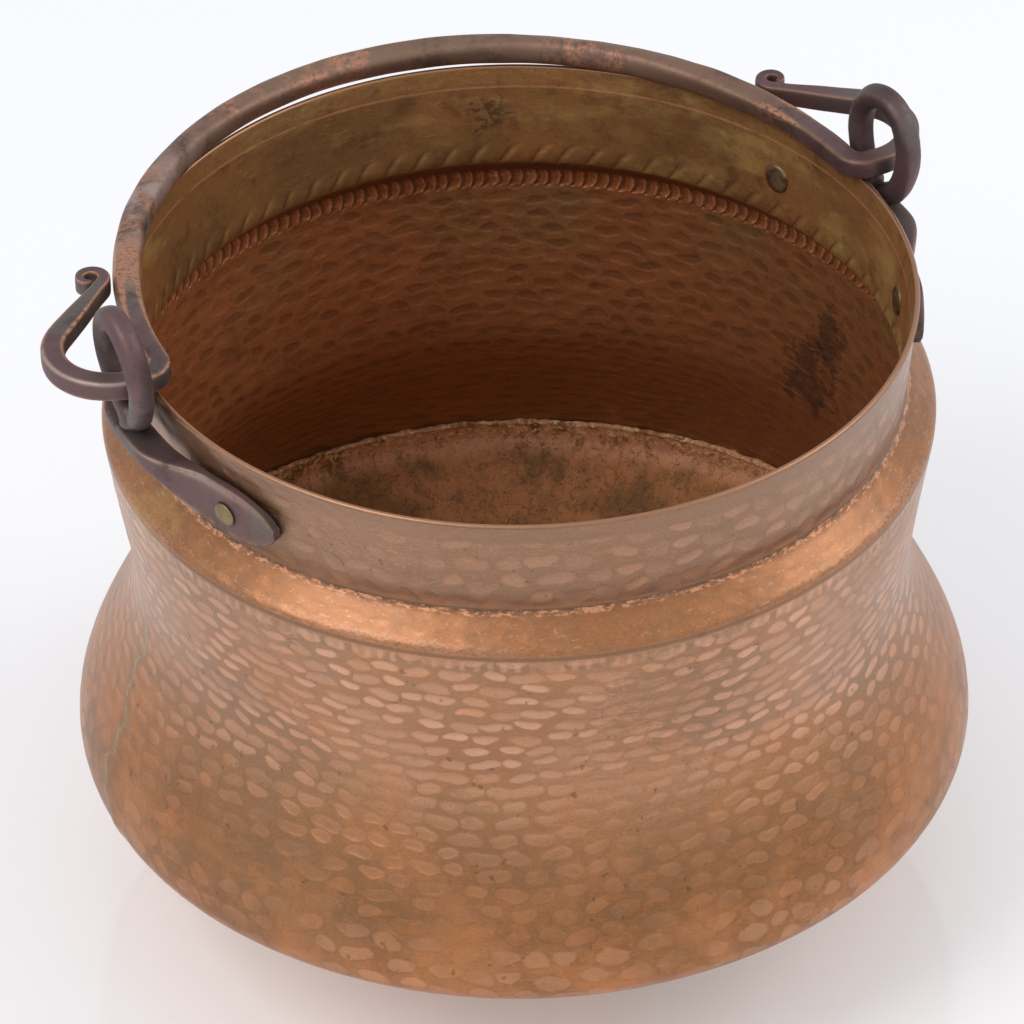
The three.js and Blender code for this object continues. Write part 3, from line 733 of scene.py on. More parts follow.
class SheetCopper(Nodes):
    """Hammered copper of the body sheet: worn marks on tarnish outside, brassy and red-brown inside."""
    TARNISHED = (
        ((-0.0093, -0.1528, 0.189), 0.03),
        ((-0.0865, -0.1213, 0.144), 0.014),
        ((-0.148, -0.075, 0.1), 0.03),
        ((-0.125, -0.105, 0.085), 0.022),
        ((0.06, -0.15, 0.11), 0.02),
    )
    SOOTED = (
        ((0.1447, 0.0307, 0.156), 0.018, 0.7),
        ((0.15, 0.024, 0.182), 0.013, 0.65),
    )

    def __init__(self, pot, marks, finish):
        super().__init__(bpy.data.materials.new("Sheet copper"))
        self.pot, self.marks, self.finish = pot, marks, finish
        self.place = self.object_place()
        self.x, self.y, self.z = self.axes(self.place)
        self.angle = self.y.math("ARCTAN2", self.x)
        self.inside = self.attribute("inside")
        self.depth = self.attribute("depth")
        self.near, self.number = hammer_marks(self.angle, self.attribute("rows"), marks.columns)
        lying = self.stretched(self.place, (1.0, 1.0, 2.4))
        flat = self.stretched(self.place, (1.0, 1.0, 4.5))
        self.patches = self.cloud(self.place, scale=17.0, detail=5.0, roughness=0.62, distortion=0.5)
        self.bands = self.cloud(lying, scale=11.0, detail=6.0, roughness=0.62)
        self.mottle = self.cloud(self.place, scale=95.0, detail=5.0, roughness=0.68)
        self.fine = self.cloud(lying, scale=600.0, detail=5.0, roughness=0.72)
        self.grain = self.cloud(self.place, scale=1300.0, detail=3.0, roughness=0.6)
        self.smear = self.cloud(flat, scale=150.0, detail=6.0, roughness=0.68, distortion=0.4)
        self.lace = self.cloud(self.place, scale=210.0, detail=4.0, distortion=1.0).ramp(low=0.46, high=0.54)
        ragged = self.near + (self.mottle - 0.5) * 0.5 + (self.smear - 0.5) * 0.9 + (self.fine - 0.5) * 0.6
        self.face = ragged.ramp(low=1.2, high=0.6)
        self.between = ragged.ramp(low=0.85, high=1.35)

    def band(self, low, high, fade):
        """1 between two heights, fading out over a distance beyond them."""
        return self.z.ramp(low=low - fade, high=low) * self.z.ramp(low=high + fade, high=high)

    def spot(self, centre, reach):
        """A ragged patch about a place."""
        uneven = (self.mottle - 0.5) * 3.2 + (self.patches - 0.5) * 1.6 + (self.smear - 0.5) * 2.0
        return (self.distance(self.place, centre) + uneven * reach).ramp(low=reach, high=0.5 * reach)

    def speckled(self, base, light, dark):
        """Fine light and dark mottling."""
        return self.coats(
            base,
            (light, self.fine.ramp(low=0.50, high=0.70) * 0.42),
            (dark, self.fine.ramp(low=0.48, high=0.30) * 0.45),
        )

    def wall(self):
        """Wall and neck outside: worn marks on browned copper, browner on the neck."""
        finish, foot = self.finish, self.pot.foot_height
        self.low = self.z.ramp(low=0.155, high=0.095)
        neck = self.z.ramp(low=foot - 0.002, high=foot + 0.002)
        scoured = self.cloud(self.place, scale=23.0, detail=6.0, roughness=0.66).ramp(low=0.42, high=0.62)
        self.tarnish = self.bands.ramp(low=0.50, high=0.68) * 0.5
        for centre, reach in self.TARNISHED:
            self.tarnish = self.tarnish.math("MAXIMUM", self.spot(centre, reach) * 0.55)
        base = self.coats(
            finish.copper,
            # Darker and browner towards the bottom.
            (finish.brown, self.low),
            (finish.orange, scoured * (self.low * 0.35 + 0.3)),
            (finish.lip, neck),
            (finish.olive, self.tarnish * 0.8),
            (finish.brown, self.smear.ramp(low=0.46, high=0.30) * 0.6),
            (finish.orange, self.smear.ramp(low=0.54, high=0.70) * 0.5),
        )
        light = self.blend(finish.bright, finish.orange, self.low)
        base = self.speckled(base, light, finish.olive)
        worn = self.patches.ramp(low=0.30, high=0.58) * 0.75 + 0.25
        worn = worn * (1.0 - self.low * 0.65) * (1.0 - self.tarnish * 0.5) * (1.0 - neck * 0.6)
        self.rub = self.face * (self.number * 0.7 + 0.3) * worn * self.depth
        redder = ((self.number * 7.0).math("FRACT") * 0.6 * scoured).math("MAXIMUM", self.low * 0.65)
        tint = self.blend(finish.bright, finish.orange, redder)
        gaps = self.between * self.depth * worn * self.patches.ramp(low=0.36, high=0.54)
        browned = self.blend(finish.olive, finish.brown, self.bands.ramp(low=0.54, high=0.44))
        return self.coats(base, (tint, self.rub * 0.9), (browned, gaps * 0.45))

    def low_wall(self, base):
        """Scoured lower wall: orange and olive mottling, faint marks with dark outlines, dark specks."""
        finish, bulge = self.finish, self.pot.bulge_height
        cloudy = self.mottle * 0.5 + self.smear * 0.5
        own = (self.number * 11.0).math("FRACT")
        faint = self.face * self.low * 0.22
        outline = self.near.ramp(low=0.70, high=1.0) * self.near.ramp(low=1.35, high=1.05)
        marked = self.low * self.patches.ramp(low=0.40, high=0.56)
        edge_row = self.band(bulge, bulge + 0.012, fade=0.008)
        specks = self.cloud(self.place, scale=230.0, detail=2.0).ramp(low=0.68, high=0.74)
        return self.coats(
            base,
            (finish.orange, self.low * cloudy.ramp(low=0.50, high=0.40) * 0.4),
            (finish.olive, self.low * cloudy.ramp(low=0.50, high=0.62) * 0.4),
            (finish.orange, faint * own.ramp(low=0.55, high=0.95)),
            (finish.copper, faint * own.ramp(low=0.40, high=0.05)),
            (finish.shade, marked * outline * 0.25),
            (finish.bright, edge_row * marked * self.face * 0.22),
            (finish.shade, specks * 0.55),
        )

    def under_ridge(self, base):
        """A row of small marks under the shoulder's edge, and the shade line over them."""
        finish, ridge = self.finish, self.pot.ridge_height
        row = self.band(ridge - 0.0072, ridge - 0.0042, fade=0.0014)
        shade_line = self.band(ridge - 0.0022, ridge - 0.0012, fade=0.0011)
        swing = self.angle * float(self.marks.teeth) + (self.mottle - 0.5) * 6.0
        beads = sine(swing).ramp(low=-0.3, high=0.8)
        return self.coats(
            base,
            (finish.olive, row * 0.3),
            (finish.bright, beads * row * self.mottle.ramp(low=0.3, high=0.6) * 0.5),
            (finish.shade, shade_line * 0.6),
        )

    def shoulder(self, base):
        """Shoulder with a painted highlight along the ridge's edge, bright scratches along the groove,
        painted shade in the groove and painted shade in the band above it.
        """
        finish, ridge, foot = self.finish, self.pot.ridge_height, self.pot.foot_height
        ledge = self.band(ridge, foot - 0.0016, fade=0.0012)
        self.ledge = ledge
        # A painted highlight along the ridge's rounded edge.
        ridge_highlight = self.band(ridge + 0.0002, ridge + 0.002, fade=0.0016)
        ridge_highlight = ridge_highlight * self.bands.ramp(low=0.62, high=0.42)
        lying = self.stretched(self.place, (1.0, 1.0, 3.0))
        scratches = self.cloud(lying, scale=260.0, detail=5.0, roughness=0.75)
        shaded = self.band(foot + 0.0006, foot + 0.0035, fade=0.005)
        groove = self.band(foot + 0.0001, foot + 0.0006, fade=0.0006) * self.mottle.ramp(low=0.30, high=0.5)
        near_groove = self.band(foot - 0.0012, foot - 0.0001, fade=0.0008)
        return self.coats(
            base,
            (finish.brown, ledge * 0.75),
            (finish.orange, ledge * self.patches.ramp(low=0.36, high=0.56) * 0.4),
            (finish.olive, ledge * self.mottle.ramp(low=0.50, high=0.66) * 0.35),
            (finish.brown, ledge * self.fine.ramp(low=0.52, high=0.36) * 0.5),
            (finish.bright, ridge_highlight * self.fine.ramp(low=0.36, high=0.56) * 0.4),
            (finish.bright, ledge * scratches.ramp(low=0.58, high=0.64) * 0.5),
            # Painted shade above the groove, with red-brown smears, and painted shade in the groove.
            (finish.shade, shaded * 0.45),
            (finish.inner, shaded * self.smear.ramp(low=0.40, high=0.58) * 0.45),
            (finish.shade, groove * 0.8),
            (finish.fresh_and_highlight, near_groove * scratches.ramp(low=0.49, high=0.56) * 0.9),
        )

    # The rim's edge: worn copper with a painted highlight.
    def edge(self):
        return self.z.ramp(low=self.pot.rim_height - 0.0011, high=self.pot.rim_height - 0.0006)

    def lip(self, base):
        """Smooth browned band under the rim, and the rim's edge in worn copper with a painted highlight."""
        finish, lip = self.finish, self.pot.lip_height
        smooth_band = self.z.ramp(low=lip - 0.001, high=lip + 0.0006)
        brown = self.speckled(finish.lip, finish.copper, finish.shade)
        return self.coats(base, (brown, smooth_band * 0.85), (finish.copper, self.edge() * 0.7))

    def seam(self, base):
        """Braze and dirt along the upright seam, and a brassy patch on the shoulder above it."""
        finish = self.finish
        below_ridge = self.z.ramp(low=0.217, high=0.208)
        aside = (self.angle - seam_angle(self.z) + (self.mottle - 0.5) * 0.02).math("ABSOLUTE")
        line = aside.ramp(low=0.009, high=0.002) * below_ridge
        return self.coats(
            base,
            (finish.olive, aside.ramp(low=0.05, high=0.01) * below_ridge * 0.5),
            (finish.braze, line * self.fine.ramp(low=0.45, high=0.6) * 0.6),
            (finish.dark, line * self.fine.ramp(low=0.5, high=0.35) * 0.7),
            (finish.braze, self.spot((-0.152, -0.004, 0.224), reach=0.02) * 0.2),
        )

    def inner_neck(self):
        """Brassy brown, with slanting dents along its foot that carry painted shade and painted light, and a
        painted highlight along the lip's crease.
        """
        finish, foot, lip = self.finish, self.pot.foot_height, self.pot.lip_height
        base = self.coats(
            finish.inner_olive,
            (finish.inner, self.patches.ramp(low=0.45, high=0.66) * 0.5),
            (finish.inner_dark, self.patches.ramp(low=0.52, high=0.36) * 0.4),
            (finish.braze, self.bands.ramp(low=0.48, high=0.60) * 0.5),
            (finish.inner_dark, self.mottle.ramp(low=0.50, high=0.68) * 0.5),
            (finish.braze, self.smear.ramp(low=0.54, high=0.70) * 0.3),
        )
        row = self.band(foot + 0.0005, foot + 0.004, fade=0.0042)
        swing = self.angle * float(self.marks.foot_teeth) + self.z * 350.0 + (self.patches - 0.5) * 5.0
        teeth = sine(swing + sine(swing) * 0.9)
        self.foot_dents = teeth * row
        crease = self.band(lip - 0.0005, lip, fade=0.0005)
        return self.coats(
            self.speckled(base, finish.inner, finish.inner_dark),
            # Painted shade in each slanting dent, and painted light in brass beside it.
            (finish.inner_dark, row * teeth.ramp(low=0.72, high=1.0) * 0.6),
            (finish.braze, row * teeth.ramp(low=0.1, high=-0.9) * 0.2),
            # A painted highlight along the crease under the lip.
            (finish.fresh_and_highlight, crease * self.mottle.ramp(low=0.3, high=0.5) * 0.45),
            (finish.soot, self.spot((0.0545, 0.1348, 0.252), reach=0.011) * self.lace * 0.6),
        )

    def inner_wall(self):
        """Red-brown, olive above, with a rope-like row of small dents along its top, painted highlights and
        painted shade on those dents, and painted shade on the marks and under the shoulder.
        """
        finish, top, foot = self.finish, self.pot.ridge_height, self.pot.foot_height
        high = self.z.ramp(low=0.165, high=0.205)
        low = self.z.ramp(low=0.17, high=0.09)
        base = self.coats(
            finish.inner,
            (finish.inner_olive, self.patches.ramp(low=0.40, high=0.62) * (high * 0.85 + 0.15)),
            (finish.inner_dark, self.mottle.ramp(low=0.50, high=0.72) * 0.4),
            (finish.inner_dark, self.smear.ramp(low=0.48, high=0.30) * 0.5),
        )
        dents = self.face * self.depth * (self.number * 0.8 + 0.1)
        scoured = self.smear.ramp(low=0.52, high=0.66) * self.mottle.ramp(low=0.42, high=0.58)
        middle, half = top - 0.003, 0.0035
        row = self.band(middle - half, middle + half, fade=0.0014)
        bow = (self.z - middle) * (1.0 / half)
        swing = self.angle * float(self.marks.teeth) - bow * bow * 1.5 - bow * 0.6 + (self.mottle - 0.5) * 7.0
        teeth = sine(swing + sine(swing) * 0.8)
        self.rope = teeth * row
        corner = self.band(top + 0.002, foot - 0.002, fade=0.0015)
        base = self.coats(
            self.speckled(base, finish.orange, finish.inner_dark),
            # Marks darkened as painted shade in their hollows.
            (finish.inner_dark, dents * 0.45),
            (finish.inner_olive, low * 0.45),
            (finish.inner_dark, self.x.ramp(low=0.0, high=0.14) * 0.3),
            (finish.orange, scoured * (low * 0.65 + 0.15)),
            (finish.inner, row * 0.8),
            # Painted highlights on one side of each small dent of the rope and painted shade on the other.
            (finish.fresh_and_highlight, row * teeth.ramp(low=0.2, high=0.95) * 0.5),
            (finish.inner_dark, row * teeth.ramp(low=-0.1, high=-0.8) * 0.6),
            # Painted shade under the shoulder inside.
            (finish.inner_dark, corner * 0.6),
        )
        stained = self.lace * 0.25 + 0.75
        for centre, reach, strength in self.SOOTED:
            base = self.blend(base, finish.soot, self.spot(centre, reach) * stained * strength)
        return base

    def make(self):
        finish, foot = self.finish, self.pot.foot_height
        outside = self.wall()
        for dress in (self.low_wall, self.under_ridge, self.shoulder, self.lip, self.seam):
            outside = dress(outside)
        in_neck = self.z.ramp(low=foot - 0.002, high=foot)
        base = self.coats(
            outside,
            (self.blend(self.inner_wall(), self.inner_neck(), in_neck), self.inside),
            # Worn copper and a painted highlight on the rim's edge.
            (finish.copper, self.edge() * 0.6),
            (finish.shade, self.grain.ramp(low=0.50, high=0.28) * 0.22),
            (finish.dark, self.grain.ramp(low=0.64, high=0.74) * 0.3),
        )
        roughness = 0.34 + self.tarnish * 0.12 + self.fine * 0.16 - self.rub * 0.05 + self.inside * 0.04
        roughness = roughness + self.ledge * 0.06
        metallic = 0.9 - self.tarnish * 0.15 - self.inside * 0.4
        sheen = (1.0 - self.inside) * (1.0 - self.low * 0.4) * 0.42
        return self.metal(base, roughness, self.bump(self.relief()), metallic, sheen)

    def relief(self):
        """Height of the marks, the rows of small dents and the roughness of the sheet."""
        fine = self.marks.fine_depth
        dishes = self.near.ramp(low=0.0, high=1.35) * self.depth * (self.inside * 0.3 + 1.0) * fine
        rows = self.rope * 2.2 - self.foot_dents * 1.5
        rough = self.mottle * 0.00022 + self.smear * 0.00006 + self.fine * 0.00004
        return dishes + rows * self.inside * fine + rough


def bottom_copper(pot, finish):
    """Copper of the bottom: crusted and cracked, with specks of braze along its edge, lightened towards -X
    and along its turned-up edge as painted light.
    """
    nodes = Nodes(bpy.data.materials.new("Bottom copper"))
    place = nodes.object_place()
    x, _, z = nodes.axes(place)
    blotch = nodes.cloud(place, scale=85.0, detail=8.0, roughness=0.76)
    stain = nodes.cloud(place, scale=21.0, detail=6.0, roughness=0.66)
    crust = nodes.cloud(place, scale=480.0, detail=5.0, roughness=0.72)
    veins = (nodes.cloud(place, scale=60.0, detail=6.0, roughness=0.7) - 0.5).math("ABSOLUTE")
    specks = nodes.cloud(place, scale=420.0, detail=3.0)
    bulge = pot.bulge_height
    turned_up_painted_light = z.ramp(low=bulge - 0.010, high=bulge - 0.002)
    edge = z.ramp(low=bulge - 0.003, high=bulge + 0.002)
    below_edge = z.ramp(low=bulge - 0.034, high=bulge - 0.018) * (1.0 - turned_up_painted_light)
    # Painted light: the bottom is lightened towards its -X side, where the wall shades it.
    scoured = x.ramp(low=0.0, high=-0.11)
    cracks = veins.ramp(low=0.022, high=0.004) * crust.ramp(low=0.40, high=0.56)
    brassy = specks.ramp(low=0.55, high=0.59) * stain.ramp(low=0.36, high=0.48)
    base = nodes.coats(
        finish.bottom,
        (finish.inner_olive, stain.ramp(low=0.44, high=0.58) * 0.8),
        (finish.orange, blotch.ramp(low=0.46, high=0.34) * 0.7),
        (finish.olive, blotch.ramp(low=0.52, high=0.64) * 0.7),
        (finish.olive, below_edge * blotch.ramp(low=0.44, high=0.56) * 0.3),
        (finish.turned, scoured * blotch.ramp(low=0.66, high=0.48) * 0.8),
        # The turned-up edge's bright copper, made brighter still as painted light.
        (finish.turned, turned_up_painted_light * blotch.ramp(low=0.62, high=0.48) * 0.9),
        (finish.orange, crust.ramp(low=0.52, high=0.64) * 0.5),
        (finish.dark, cracks * 0.5),
        (finish.dark, crust.ramp(low=0.44, high=0.34) * 0.5),
        (finish.speck, edge * brassy),
    )
    height = blotch * 0.0018 + crust * 0.0008 + specks * edge * 0.0008
    return nodes.metal(base, 0.34 + crust * 0.25, nodes.bump(height), 0.35)


def forged_patina(finish):
    """Forged copper alloy: grey-brown patina, reddish where it is worn, with a painted pale sheen round the
    most worn stretch of the bow.
    """
    nodes = Nodes(bpy.data.materials.new("Forged patina"))
    place = nodes.object_place()
    blotch = nodes.cloud(place, scale=48.0, detail=6.0, roughness=0.64, distortion=0.3)
    tint = nodes.cloud(place, scale=26.0, detail=4.0)
    wear = nodes.cloud(place, scale=24.0, detail=7.0, roughness=0.7)
    pits = nodes.cloud(place, scale=560.0, detail=5.0, roughness=0.7)
    exposed = nodes.attribute("wear")
    used = exposed.ramp(low=0.05, high=0.13)
    on_bow = exposed.ramp(low=0.22, high=0.32)
    away = nodes.distance(place, finish.worn_place)
    held = away.ramp(low=finish.worn_reach, high=0.5 * finish.worn_reach) * on_bow
    # This mask is a painted sheen round the worn stretch, fading outwards.
    beside = away.ramp(low=2.6 * finish.worn_reach, high=1.2 * finish.worn_reach) * on_bow * (1.0 - held)
    rubbed = exposed + wear.ramp(low=0.44, high=0.66) * (on_bow * 0.5 + 0.4) + held * 0.8 - 0.35
    rubbed = rubbed.ramp(low=0.15, high=0.75) * pits.ramp(low=0.66, high=0.44)
    base = nodes.coats(
        finish.patina,
        (finish.patina_red, (used * 0.7 + 0.3) * tint.ramp(low=0.36, high=0.56)),
        (finish.patina_brown, exposed.ramp(low=0.15, high=0.35) * 0.7),
        (finish.patina_dark, blotch.ramp(low=0.46, high=0.68) * 0.75),
        # Painted sheen round the worn stretch of the bow.
        (finish.painted_sheen, beside * blotch.ramp(low=0.62, high=0.40) * 0.7),
        (finish.worn, rubbed * 0.8),
        (finish.patina_dark, pits.ramp(low=0.58, high=0.70) * 0.6),
    )
    height = blotch * 0.0005 + pits * 0.00008
    return nodes.metal(base, 0.42 + pits * 0.2 - rubbed * 0.06, nodes.bump(height), 0.65)


def rivet_brass(pot, finish):
    """Dull brass, darkened on the tails inside the neck."""
    nodes = Nodes(bpy.data.materials.new("Rivet brass"))
    place = nodes.object_place()
    x, y, _ = nodes.axes(place)
    blotch = nodes.cloud(place, scale=190.0, detail=4.0, roughness=0.6)
    grain = nodes.cloud(place, scale=900.0, detail=3.0)
    inside = (x * x + y * y).math("SQRT").ramp(low=pot.foot_radius, high=pot.foot_radius - pot.sheet)
    base = nodes.coats(
        finish.brass,
        (finish.olive, blotch.ramp(low=0.42, high=0.66) * 0.7),
        (finish.inner_dark, inside * blotch.ramp(low=0.38, high=0.6) * 0.8),
        (finish.dark, grain.ramp(low=0.6, high=0.72) * 0.4),
    )
    return nodes.metal(base, 0.38 + grain * 0.2, nodes.bump(blotch * 0.0003 + grain * 0.00003), 0.8)


def pale_floor(stage):
    """Pale, slightly glossy floor, lit a little from below like a light table."""
    nodes = Nodes(bpy.data.materials.new("Pale floor"))
    shader = nodes.add("ShaderNodeBsdfPrincipled", {}, {
        "Base Color": stage.floor_colour, "Roughness": 0.07, "Emission Color": stage.glow_colour,
        "Emission Strength": stage.glow})
    nodes.add("ShaderNodeOutputMaterial", {}, {"Surface": shader})
    return nodes.owner


# Bars of the smithwork

def ring_corners(width, height, squareness, roll, sides):
    """Points of a section between round, at 2, and nearly square, above 5, rolled about its middle."""
    angles = (np.arange(sides) + 0.5) * (2.0 * math.pi / sides)
    across = np.sign(np.cos(angles)) * np.abs(np.cos(angles)) ** (2.0 / squareness)
    rise = np.sign(np.sin(angles)) * np.abs(np.sin(angles)) ** (2.0 / squareness)
    rolled = np.column_stack((
        across * math.cos(roll) - rise * math.sin(roll), across * math.sin(roll) + rise * math.cos(roll)))
    return rolled * (width / 2.0, height / 2.0)


def corner_wear(corners, width, height):
    """How exposed each point of a section is: 0 on a round or a flat, more on corners."""
    return np.clip(2.0 * np.hypot(corners[:, 0] / width, corners[:, 1] / height) - 1.0, 0.0, 1.0)


def bar_rings(path, sizes, stand):
    """Rings of a bar along a path in a plane, which stand puts into space, and their wear."""
    sides = 20
    rings, worn = [], []
    for point, aside, (width, height, squareness, roll, rub) in zip(path, sideways(path), sizes):
        corners = ring_corners(width, height, squareness, roll, sides)
        rings.append([stand(*(point + aside * across), rise) for across, rise in corners])
        worn.append(corner_wear(corners, width, height) + rub)
    return rings, worn


def bail_half(smith):
    """Middle line of half the bail in its plane, and its sections.

    A section has its width, height, squareness, roll and wear.
    """
    bow_steps, bend_steps, sweep_steps, tail_steps, scroll_steps = 100, 10, 30, 14, 40
    squared, rounded, rolling, roll_rate, bow_rub, hook_rub = 6.0, 2.7, 0.35, 37.0, 0.34, 0.05
    bow_end = math.acos(smith.hook_bend / smith.bow_reach)
    turns = np.linspace(0.0, bow_end, bow_steps + 1)
    left = (bow_end - turns) * (smith.bow_span + smith.bow_reach) / 2.0
    flat = smooth((smith.squared_from - left) / smith.squared_over)
    bow = np.column_stack((smith.bow_span * np.sin(turns), smith.bow_reach * np.cos(turns)))
    bow_sizes = np.column_stack((
        mix(smith.bail_bar, smith.hook_width, flat), mix(smith.bail_bar, smith.hook_height, flat),
        mix(rounded, squared, flat), rolling * np.sin(left * roll_rate) * (1.0 - flat),
        mix(bow_rub, hook_rub, flat)))
    bend_x = bow[-1, 0] + smith.hook_bend
    turn_out = arc((bend_x, smith.hook_bend), smith.hook_bend, math.pi, 1.5 * math.pi, bend_steps)[1:]
    sweep_centre = (bend_x + smith.hook_width / 2.0, smith.hook_sweep)
    sweep_end = smith.tail_heading - math.pi / 2.0
    sweep = arc(sweep_centre, smith.hook_sweep, -math.pi / 2.0, sweep_end, sweep_steps)
    hook = np.vstack((turn_out, sweep))
    squared_bar = (smith.hook_width, smith.hook_height, squared, 0.0, hook_rub)
    hook_sizes = np.tile(squared_bar, (len(hook), 1))
    t = np.linspace(0.0, 1.0, tail_steps + 1)[1:]
    heading = np.array((math.cos(smith.tail_heading), math.sin(smith.tail_heading)))
    tail = hook[-1] + heading * tail_length(smith, hook[-1]) * t[:, None]
    tail_sizes = np.tile(squared_bar, (tail_steps, 1))
    tail_sizes[:, 0] = mix(smith.hook_width, smith.tail_width, smooth(t))
    t = (np.arange(scroll_steps) + 1.0) / scroll_steps
    step = smith.scroll_turn / scroll_steps
    headings = smith.tail_heading - step * (np.arange(scroll_steps) + 0.5)
    strides = mix(smith.scroll_radius, smith.scroll_core, t) * step
    curl = np.cumsum(np.column_stack((np.cos(headings), np.sin(headings))) * strides[:, None], axis=0)
    scroll_sizes = np.tile(squared_bar, (scroll_steps, 1))
    scroll_sizes[:, 0] = mix(smith.tail_width, smith.tip_width, t)
    scroll_sizes[:, 1] = mix(smith.hook_height, smith.tip_height, t)
    path = np.vstack((bow, hook, tail, tail[-1] + curl))
    return path, np.vstack((bow_sizes, hook_sizes, tail_sizes, scroll_sizes))


def tail_length(smith, start):
    """The tail runs on until its scroll comes close to the bow."""
    halvings = 40
    rise, run = math.sin(smith.tail_heading), math.cos(smith.tail_heading)
    inset = smith.scroll_radius * (1.0 - rise) + smith.tail_width / 2.0
    short, long = 0.0, smith.bow_reach
    for _ in range(halvings):
        middle = (short + long) / 2.0
        y = start[1] + rise * middle + smith.scroll_radius * abs(run)
        bow = smith.bow_span * math.sqrt(max(1.0 - (y / smith.bow_reach) ** 2, 0.0))
        if start[0] + run * middle - inset > bow + smith.bail_bar / 2.0 + smith.scroll_room:
            short = middle
        else:
            long = middle
    return short


def bail_rings(smith):
    half, half_sizes = bail_half(smith)
    path = np.vstack((half[:0:-1] * (-1.0, 1.0), half))
    sizes = np.vstack((half_sizes[:0:-1], half_sizes))
    return bar_rings(path, sizes, lambda x, y, rise: (x, y, hinge_height + rise))


def strap_rings(smith, pot):
    """Rings of a strap centred on +X: a flat bar under the eye that spreads into a leaf at both ends."""
    stations, sides, squareness, rivet_margin, rub = 72, 20, 7.0, 0.002, 0.04
    middle_height = (smith.leaf_top + smith.leaf_bottom) / 2.0
    tip_span = smith.strap_half - smith.rivet_place
    leaf_end = tip_span + smith.rivet_head / 2.0 + rivet_margin
    rings, worn = [], []
    for sweep in np.sin(np.linspace(-0.5, 0.5, stations + 1) * math.pi):
        along = sweep * smith.strap_half
        angle = along / neck_radius(pot, middle_height)
        from_tip = smith.strap_half - abs(along)
        spread = smooth((leaf_end + smith.twist - from_tip) / smith.twist)
        beyond = max(1.0 - from_tip / tip_span, 0.0)
        full = mix(smith.strap_bar, smith.leaf_top - smith.leaf_bottom, spread)
        height = max(full * math.sqrt(1.0 - beyond ** 2), smith.tip)
        middle = mix(strap_top - smith.strap_bar / 2.0, middle_height, spread)
        gap = mix(smith.standoff, smith.seat_gap, spread)
        bar_inner = neck_radius(pot, middle) + smith.standoff
        bar_outer = eye_reach + smith.shoulder / 2.0 + smith.brim
        thickness = mix(bar_outer - bar_inner, smith.strap_leaf, spread)
        corners = ring_corners(thickness, height, squareness, 0.0, sides)
        ring = []
        for depth, rise in corners:
            z = middle + rise
            radius = neck_radius(pot, z) + gap + thickness / 2.0 + depth
            ring.append((radius * math.cos(angle), radius * math.sin(angle), z))
        rings.append(ring)
        worn.append(corner_wear(corners, thickness, height) + rub * spread)
    return rings, worn


def eye_rings(smith):
    """Rings of an eye's bar: up from its shoulder, round the loop and back down beside the shank."""
    samples, foot_steps, open_turn = 70, 8, 0.62
    rounded, tapered, rolling, roll_rate, rub = 2.5, 0.62, 0.4, 70.0, 0.14
    knee_rise, lap_aside, lap_rise, lap_bend = 0.0012, 0.0032, 0.0005, 0.002
    half = (eye_high.z - strap_top - smith.eye_lift - smith.eye_bar / 2.0 - smith.eye_root) / 2.0
    turns = np.linspace(open_turn, 2.0 * math.pi - open_turn, samples + 1)
    shape = np.sin(turns) * np.sin(turns / 2.0) ** smith.eye_pinch
    reach = ((eye_high.y - eye_low.y) / 2.0 - smith.eye_bar / 2.0) / np.max(np.abs(shape))
    loop = np.column_stack((-reach * shape, smith.eye_root + half - half * np.cos(turns)))
    foot = np.array((0.0, smith.seat_gap))
    knee = np.array((0.0, smith.eye_root + knee_rise))
    stem = bend(foot, knee, loop[0], foot_steps)[:-1]
    lap = np.array((lap_aside, smith.eye_root + lap_rise))
    lapped = bend(loop[-1], towards(loop[-1], lap, lap_bend), lap, foot_steps)[1:]
    path = np.vstack((stem, loop, lapped))
    thick = np.full(len(path), smith.eye_bar)
    thick[:len(stem)] = np.linspace(smith.shoulder, smith.eye_bar, len(stem))
    thick[-len(lapped):] = np.linspace(smith.eye_bar, tapered * smith.eye_bar, len(lapped))
    rolls = rolling * np.sin(lengths(path) * roll_rate)
    sizes = np.column_stack((thick, thick, np.full(len(path), rounded), rolls, np.full(len(path), rub)))
    return bar_rings(path, sizes, lambda y, z, rise: (rise, y, z))


# Operators

class CAULDRON_OT_sheet(bpy.types.Operator):
    """Builds the wall and the neck of the body sheet"""
    bl_idname = "cauldron.sheet"
    bl_label = "Body sheet"

    def execute(self, context):
        scene = context.scene
        pot, marks = scene.cauldron_pot, scene.cauldron_marks
        material = SheetCopper(pot, marks, scene.cauldron_finish).make()
        sheets = {"pot_wall": wall_sheet(pot, marks), "pot_neck": neck_sheet(pot, marks)}
        for name, sheet in sheets.items():
            piece = sheet_piece(name, sheet, pot, marks, material)
            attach(piece, "pot")
            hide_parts("body_shell")
        return {"FINISHED"}


